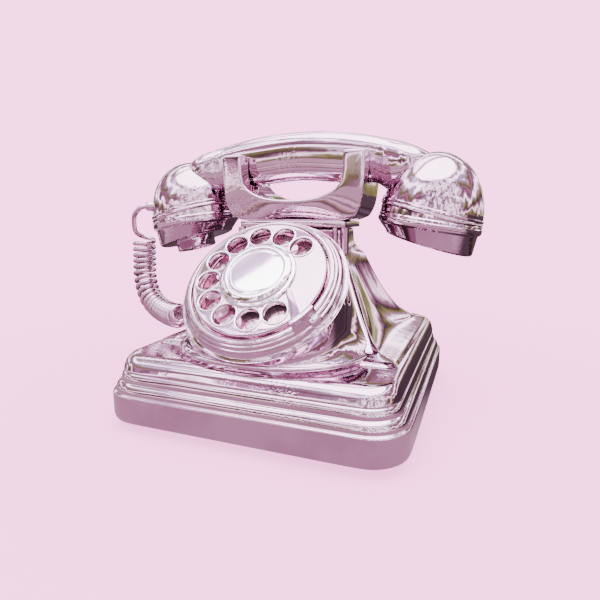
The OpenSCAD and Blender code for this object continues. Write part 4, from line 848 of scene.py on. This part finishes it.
def grip_roof(x):
    """The height of the grip's back."""
    return grip_top - grip_arch_r + sqrt(grip_arch_r ** 2 - x * x) - 0.3 - 0.006 * max(0, abs(x) - 62) ** 2


def grip_floor(x):
    """The height of the grip's underside, which lies in the cradle's notch."""
    a = abs(x)
    if a < cradle_r + 1:
        return notch_z + 0.05 + 2.3 * cos(radians(min(90, a * 90 / 33))) ** 2
    return max(grip_end_z, notch_z + 0.05 - 0.16 * (a - cradle_r - 1) ** 1.6)


def grip_half(x):
    """Half the grip's width: it spreads like a trumpet into the domes."""
    u = min(1, max(0, (abs(x) - spread_x) / spread_run))
    return grip_w / 2 + spread_by * u * u * (3 - 2 * u) - 0.055 * max(0, abs(x) - spread_end) ** 2


def grip_section(x, count=24):
    """One hoop of the grip, rounder on top than below."""
    roof, low = grip_roof(x), grip_floor(x)
    middle = low + 0.56 * (roof - low)
    ring = []
    for i in range(count):
        a = 2 * pi * (i + 0.5) / count
        s, c = sin(a), cos(a)
        reach = (roof - middle) if s > 0 else (middle - low)
        ring.append(Vector((x, cradle_y + grip_half(x) * (1 if c > 0 else -1) * abs(c) ** 0.72,
                            middle + reach * (1 if s > 0 else -1) * abs(s) ** 0.8)))
    return ring


bm = bmesh.new()
loft(bm, [grip_section(-grip_x + 2 * grip_x * k / 48) for k in range(49)])
for side in (-1, 1):
    curve = [(dome_r * cos(radians(90 * i / 32)) ** (2 / dome_curve),
              dome_h * sin(radians(90 * i / 32)) ** (2 / dome_curve)) for i in range(32)]
    faces = turned(bm, [(dome_r, -9)] + curve + [(0.01, dome_h)], 128, closed=False,
                   place=Matrix.Translation((side * cap_x, cradle_y, cap_z))
                   @ Matrix.Rotation(radians(side * dome_tilt), 4, "Y"))
    # A double bead runs round the foot of the dome, a little aslant
    faces += turned(bm, [(dome_r - 2, -2.4), (dome_r + 0.2, -2.4), (dome_r + 0.7, -1.6), (dome_r + 0.6, -0.6),
                         (dome_r + 0.2, 0), (dome_r + 0.6, 0.5), (dome_r + 0.5, 1.3), (dome_r - 1.5, 2.6)], 128,
                    place=cap_place[side] @ Matrix.Translation((0, 0, bead_z))
                    @ Matrix.Rotation(radians(side * bead_tilt), 4, "Y"))
    verts = list(dict.fromkeys(v for f in faces for v in f.verts))
    edges = list(dict.fromkeys(e for f in faces for e in f.edges))
    bmesh.ops.bisect_plane(bm, geom=verts + edges + faces, plane_co=cap_place[side].translation,
                           plane_no=cap_place[side].to_3x3() @ Vector((0, 0, 1)), clear_inner=True)
    for v in bm.verts:
        v.tag = True
grip = cast(bm, "arched_handset", pink_chrome, crease=35)
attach(grip, "handset")
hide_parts("handset_grip")

face_place = {side: cap_place[side] @ Matrix.Translation((side * 1.5, 0, -cap_h))
              @ Matrix.Rotation(radians(side * face_tilt), 4, "Y") for side in (-1, 1)}


def circle(place, r, z, stretch=0, count=128):
    """Points of a circle at a height in a frame, drawn out sideways by stretch."""
    ring = []
    for i in range(count):
        a = 2 * pi * i / count
        drawn = stretch * (1 if sin(a) > 0 else -1) * min(1, abs(sin(a)) * 8)
        ring.append(place @ Vector((r * cos(a), r * sin(a) + drawn, z)))
    return ring


for side, name, node in ((-1, "mouthpiece_cap", "transmitter_cap"), (1, "earpiece_cap", "receiver_cap")):
    low, flat = cap_place[side], face_place[side]
    bm = bmesh.new()
    joint = [(-2.6, 0), (-0.3, 0), (0, -0.15), (0.4, -0.7), (0.5, -1.3), (0.1, -1.7), (0.15, -2), (0.6, -2.5),
             (0.7, -4), (0.4, 0.8 - collar_h), (-0.3, 0.1 - collar_h), (-0.9, -0.3 - collar_h),
             (-1.1, -0.8 - collar_h)]
    brim = [(0.3, 1.5), (0.1, 0.9), (-0.5, 0.3), (-1.3, 0), (-3, 0)]
    loft(bm, [circle(low, dome_r + out, z) for out, z in joint] + [circle(flat, face_r + out, z) for out, z in brim])
    cap = cast(bm, name, pink_chrome, crease=26)
    # Six sound holes in the earpiece, one wide opening under the mouthpiece's spout
    bm = bmesh.new()
    for a in (0, 60, 120, 180, 240, 300) if side > 0 else (0,):
        r, at = (1.2, Vector((6, 0, 2))) if side > 0 else (9.3, Vector((-2, 0, 0)))
        bmesh.ops.create_cone(bm, cap_ends=True, segments=48, radius1=r, radius2=r, depth=6.4,
                              matrix=flat @ Matrix.Rotation(radians(a), 4, "Z") @ Matrix.Translation(at)
                              @ Matrix.Diagonal((1, 1 if side > 0 else 1.3, 1, 1)))
    drill = cast(bm, "drill", pink_chrome)
    sound = cap.modifiers.new("sound", "BOOLEAN")
    sound.object, sound.operation, sound.solver = drill, "DIFFERENCE", "EXACT"
    settle(cap)
    bpy.data.objects.remove(drill)
    cap.data.set_sharp_from_angle(angle=radians(26))
    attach(cap, "handset")
    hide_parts(node)

# Mouthpiece: a short flared spout, drawn out front to back, on the left cap's face.
low = face_place[-1] @ Matrix.Translation((-2, 0, 0))
bm = bmesh.new()
loft(bm, [circle(low, r, z, stretch=drawn) for r, z, drawn in (
    (14, 0.5, 0), (13.6, -0.4, 0), (12.6, -2, 1.6), (11.6, -4, 3), (11.1, -5.6, 4), (10.8, -6, 4), (9.6, -6, 4),
    (9.2, -5.4, 4), (9.3, -2, 3), (9.3, 1, 2.8))], (False, False))
spout = cast(bm, "mouthpiece_spout", pink_chrome, crease=40)
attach(spout, "handset")
dress(pressed_steel, "transmitter_capsule", "receiver_capsule")

bush = recast("handset_bush", "cord_bush", pink_chrome)
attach(bush, "handset")
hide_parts("handset_bush")
gland = recast("cord_gland", "cord_gland_ring", pink_chrome)
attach(gland, "telephone")
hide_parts("cord_gland")

# ------------------------------------------------------------------ works inside
# Brass gears and springs, a pair of gongs with their coils, a boxed capacitor and an induction coil on the
# base, and a moulded terminal block.
worn_brass = plain_finish("worn_brass", ((0.50, 0.36, 0.13), (0.72, 0.55, 0.24)), (0.2, 0.42), 1.0, 180, 0.08)
dress(worn_brass, "main_gear", "intermediate_gear", "governor", "dial_contacts", "hookswitch_lever",
      "hookswitch_springs", "gong_left", "gong_right", "clapper", "terminal_screws")
dress(pressed_steel, "ringer_frame", "gong_screws")
coil_wrap = plain_finish("coil_wrap", ((0.30, 0.07, 0.05), (0.46, 0.13, 0.09)), (0.45, 0.7), 0.0, 300, 0.3)
dress(coil_wrap, "ringer_coils", "induction_coil")
zinc_can = plain_finish("zinc_can", ((0.34, 0.34, 0.30), (0.50, 0.50, 0.44)), (0.35, 0.6), 0.6, 140)
dress(zinc_can, "capacitor")
moulded_black = plain_finish("moulded_black", ((0.02, 0.018, 0.02), (0.04, 0.035, 0.04)), (0.3, 0.5), 0.0, 400, 0.2)
dress(moulded_black, "terminal_block", "line_cord_inlet")
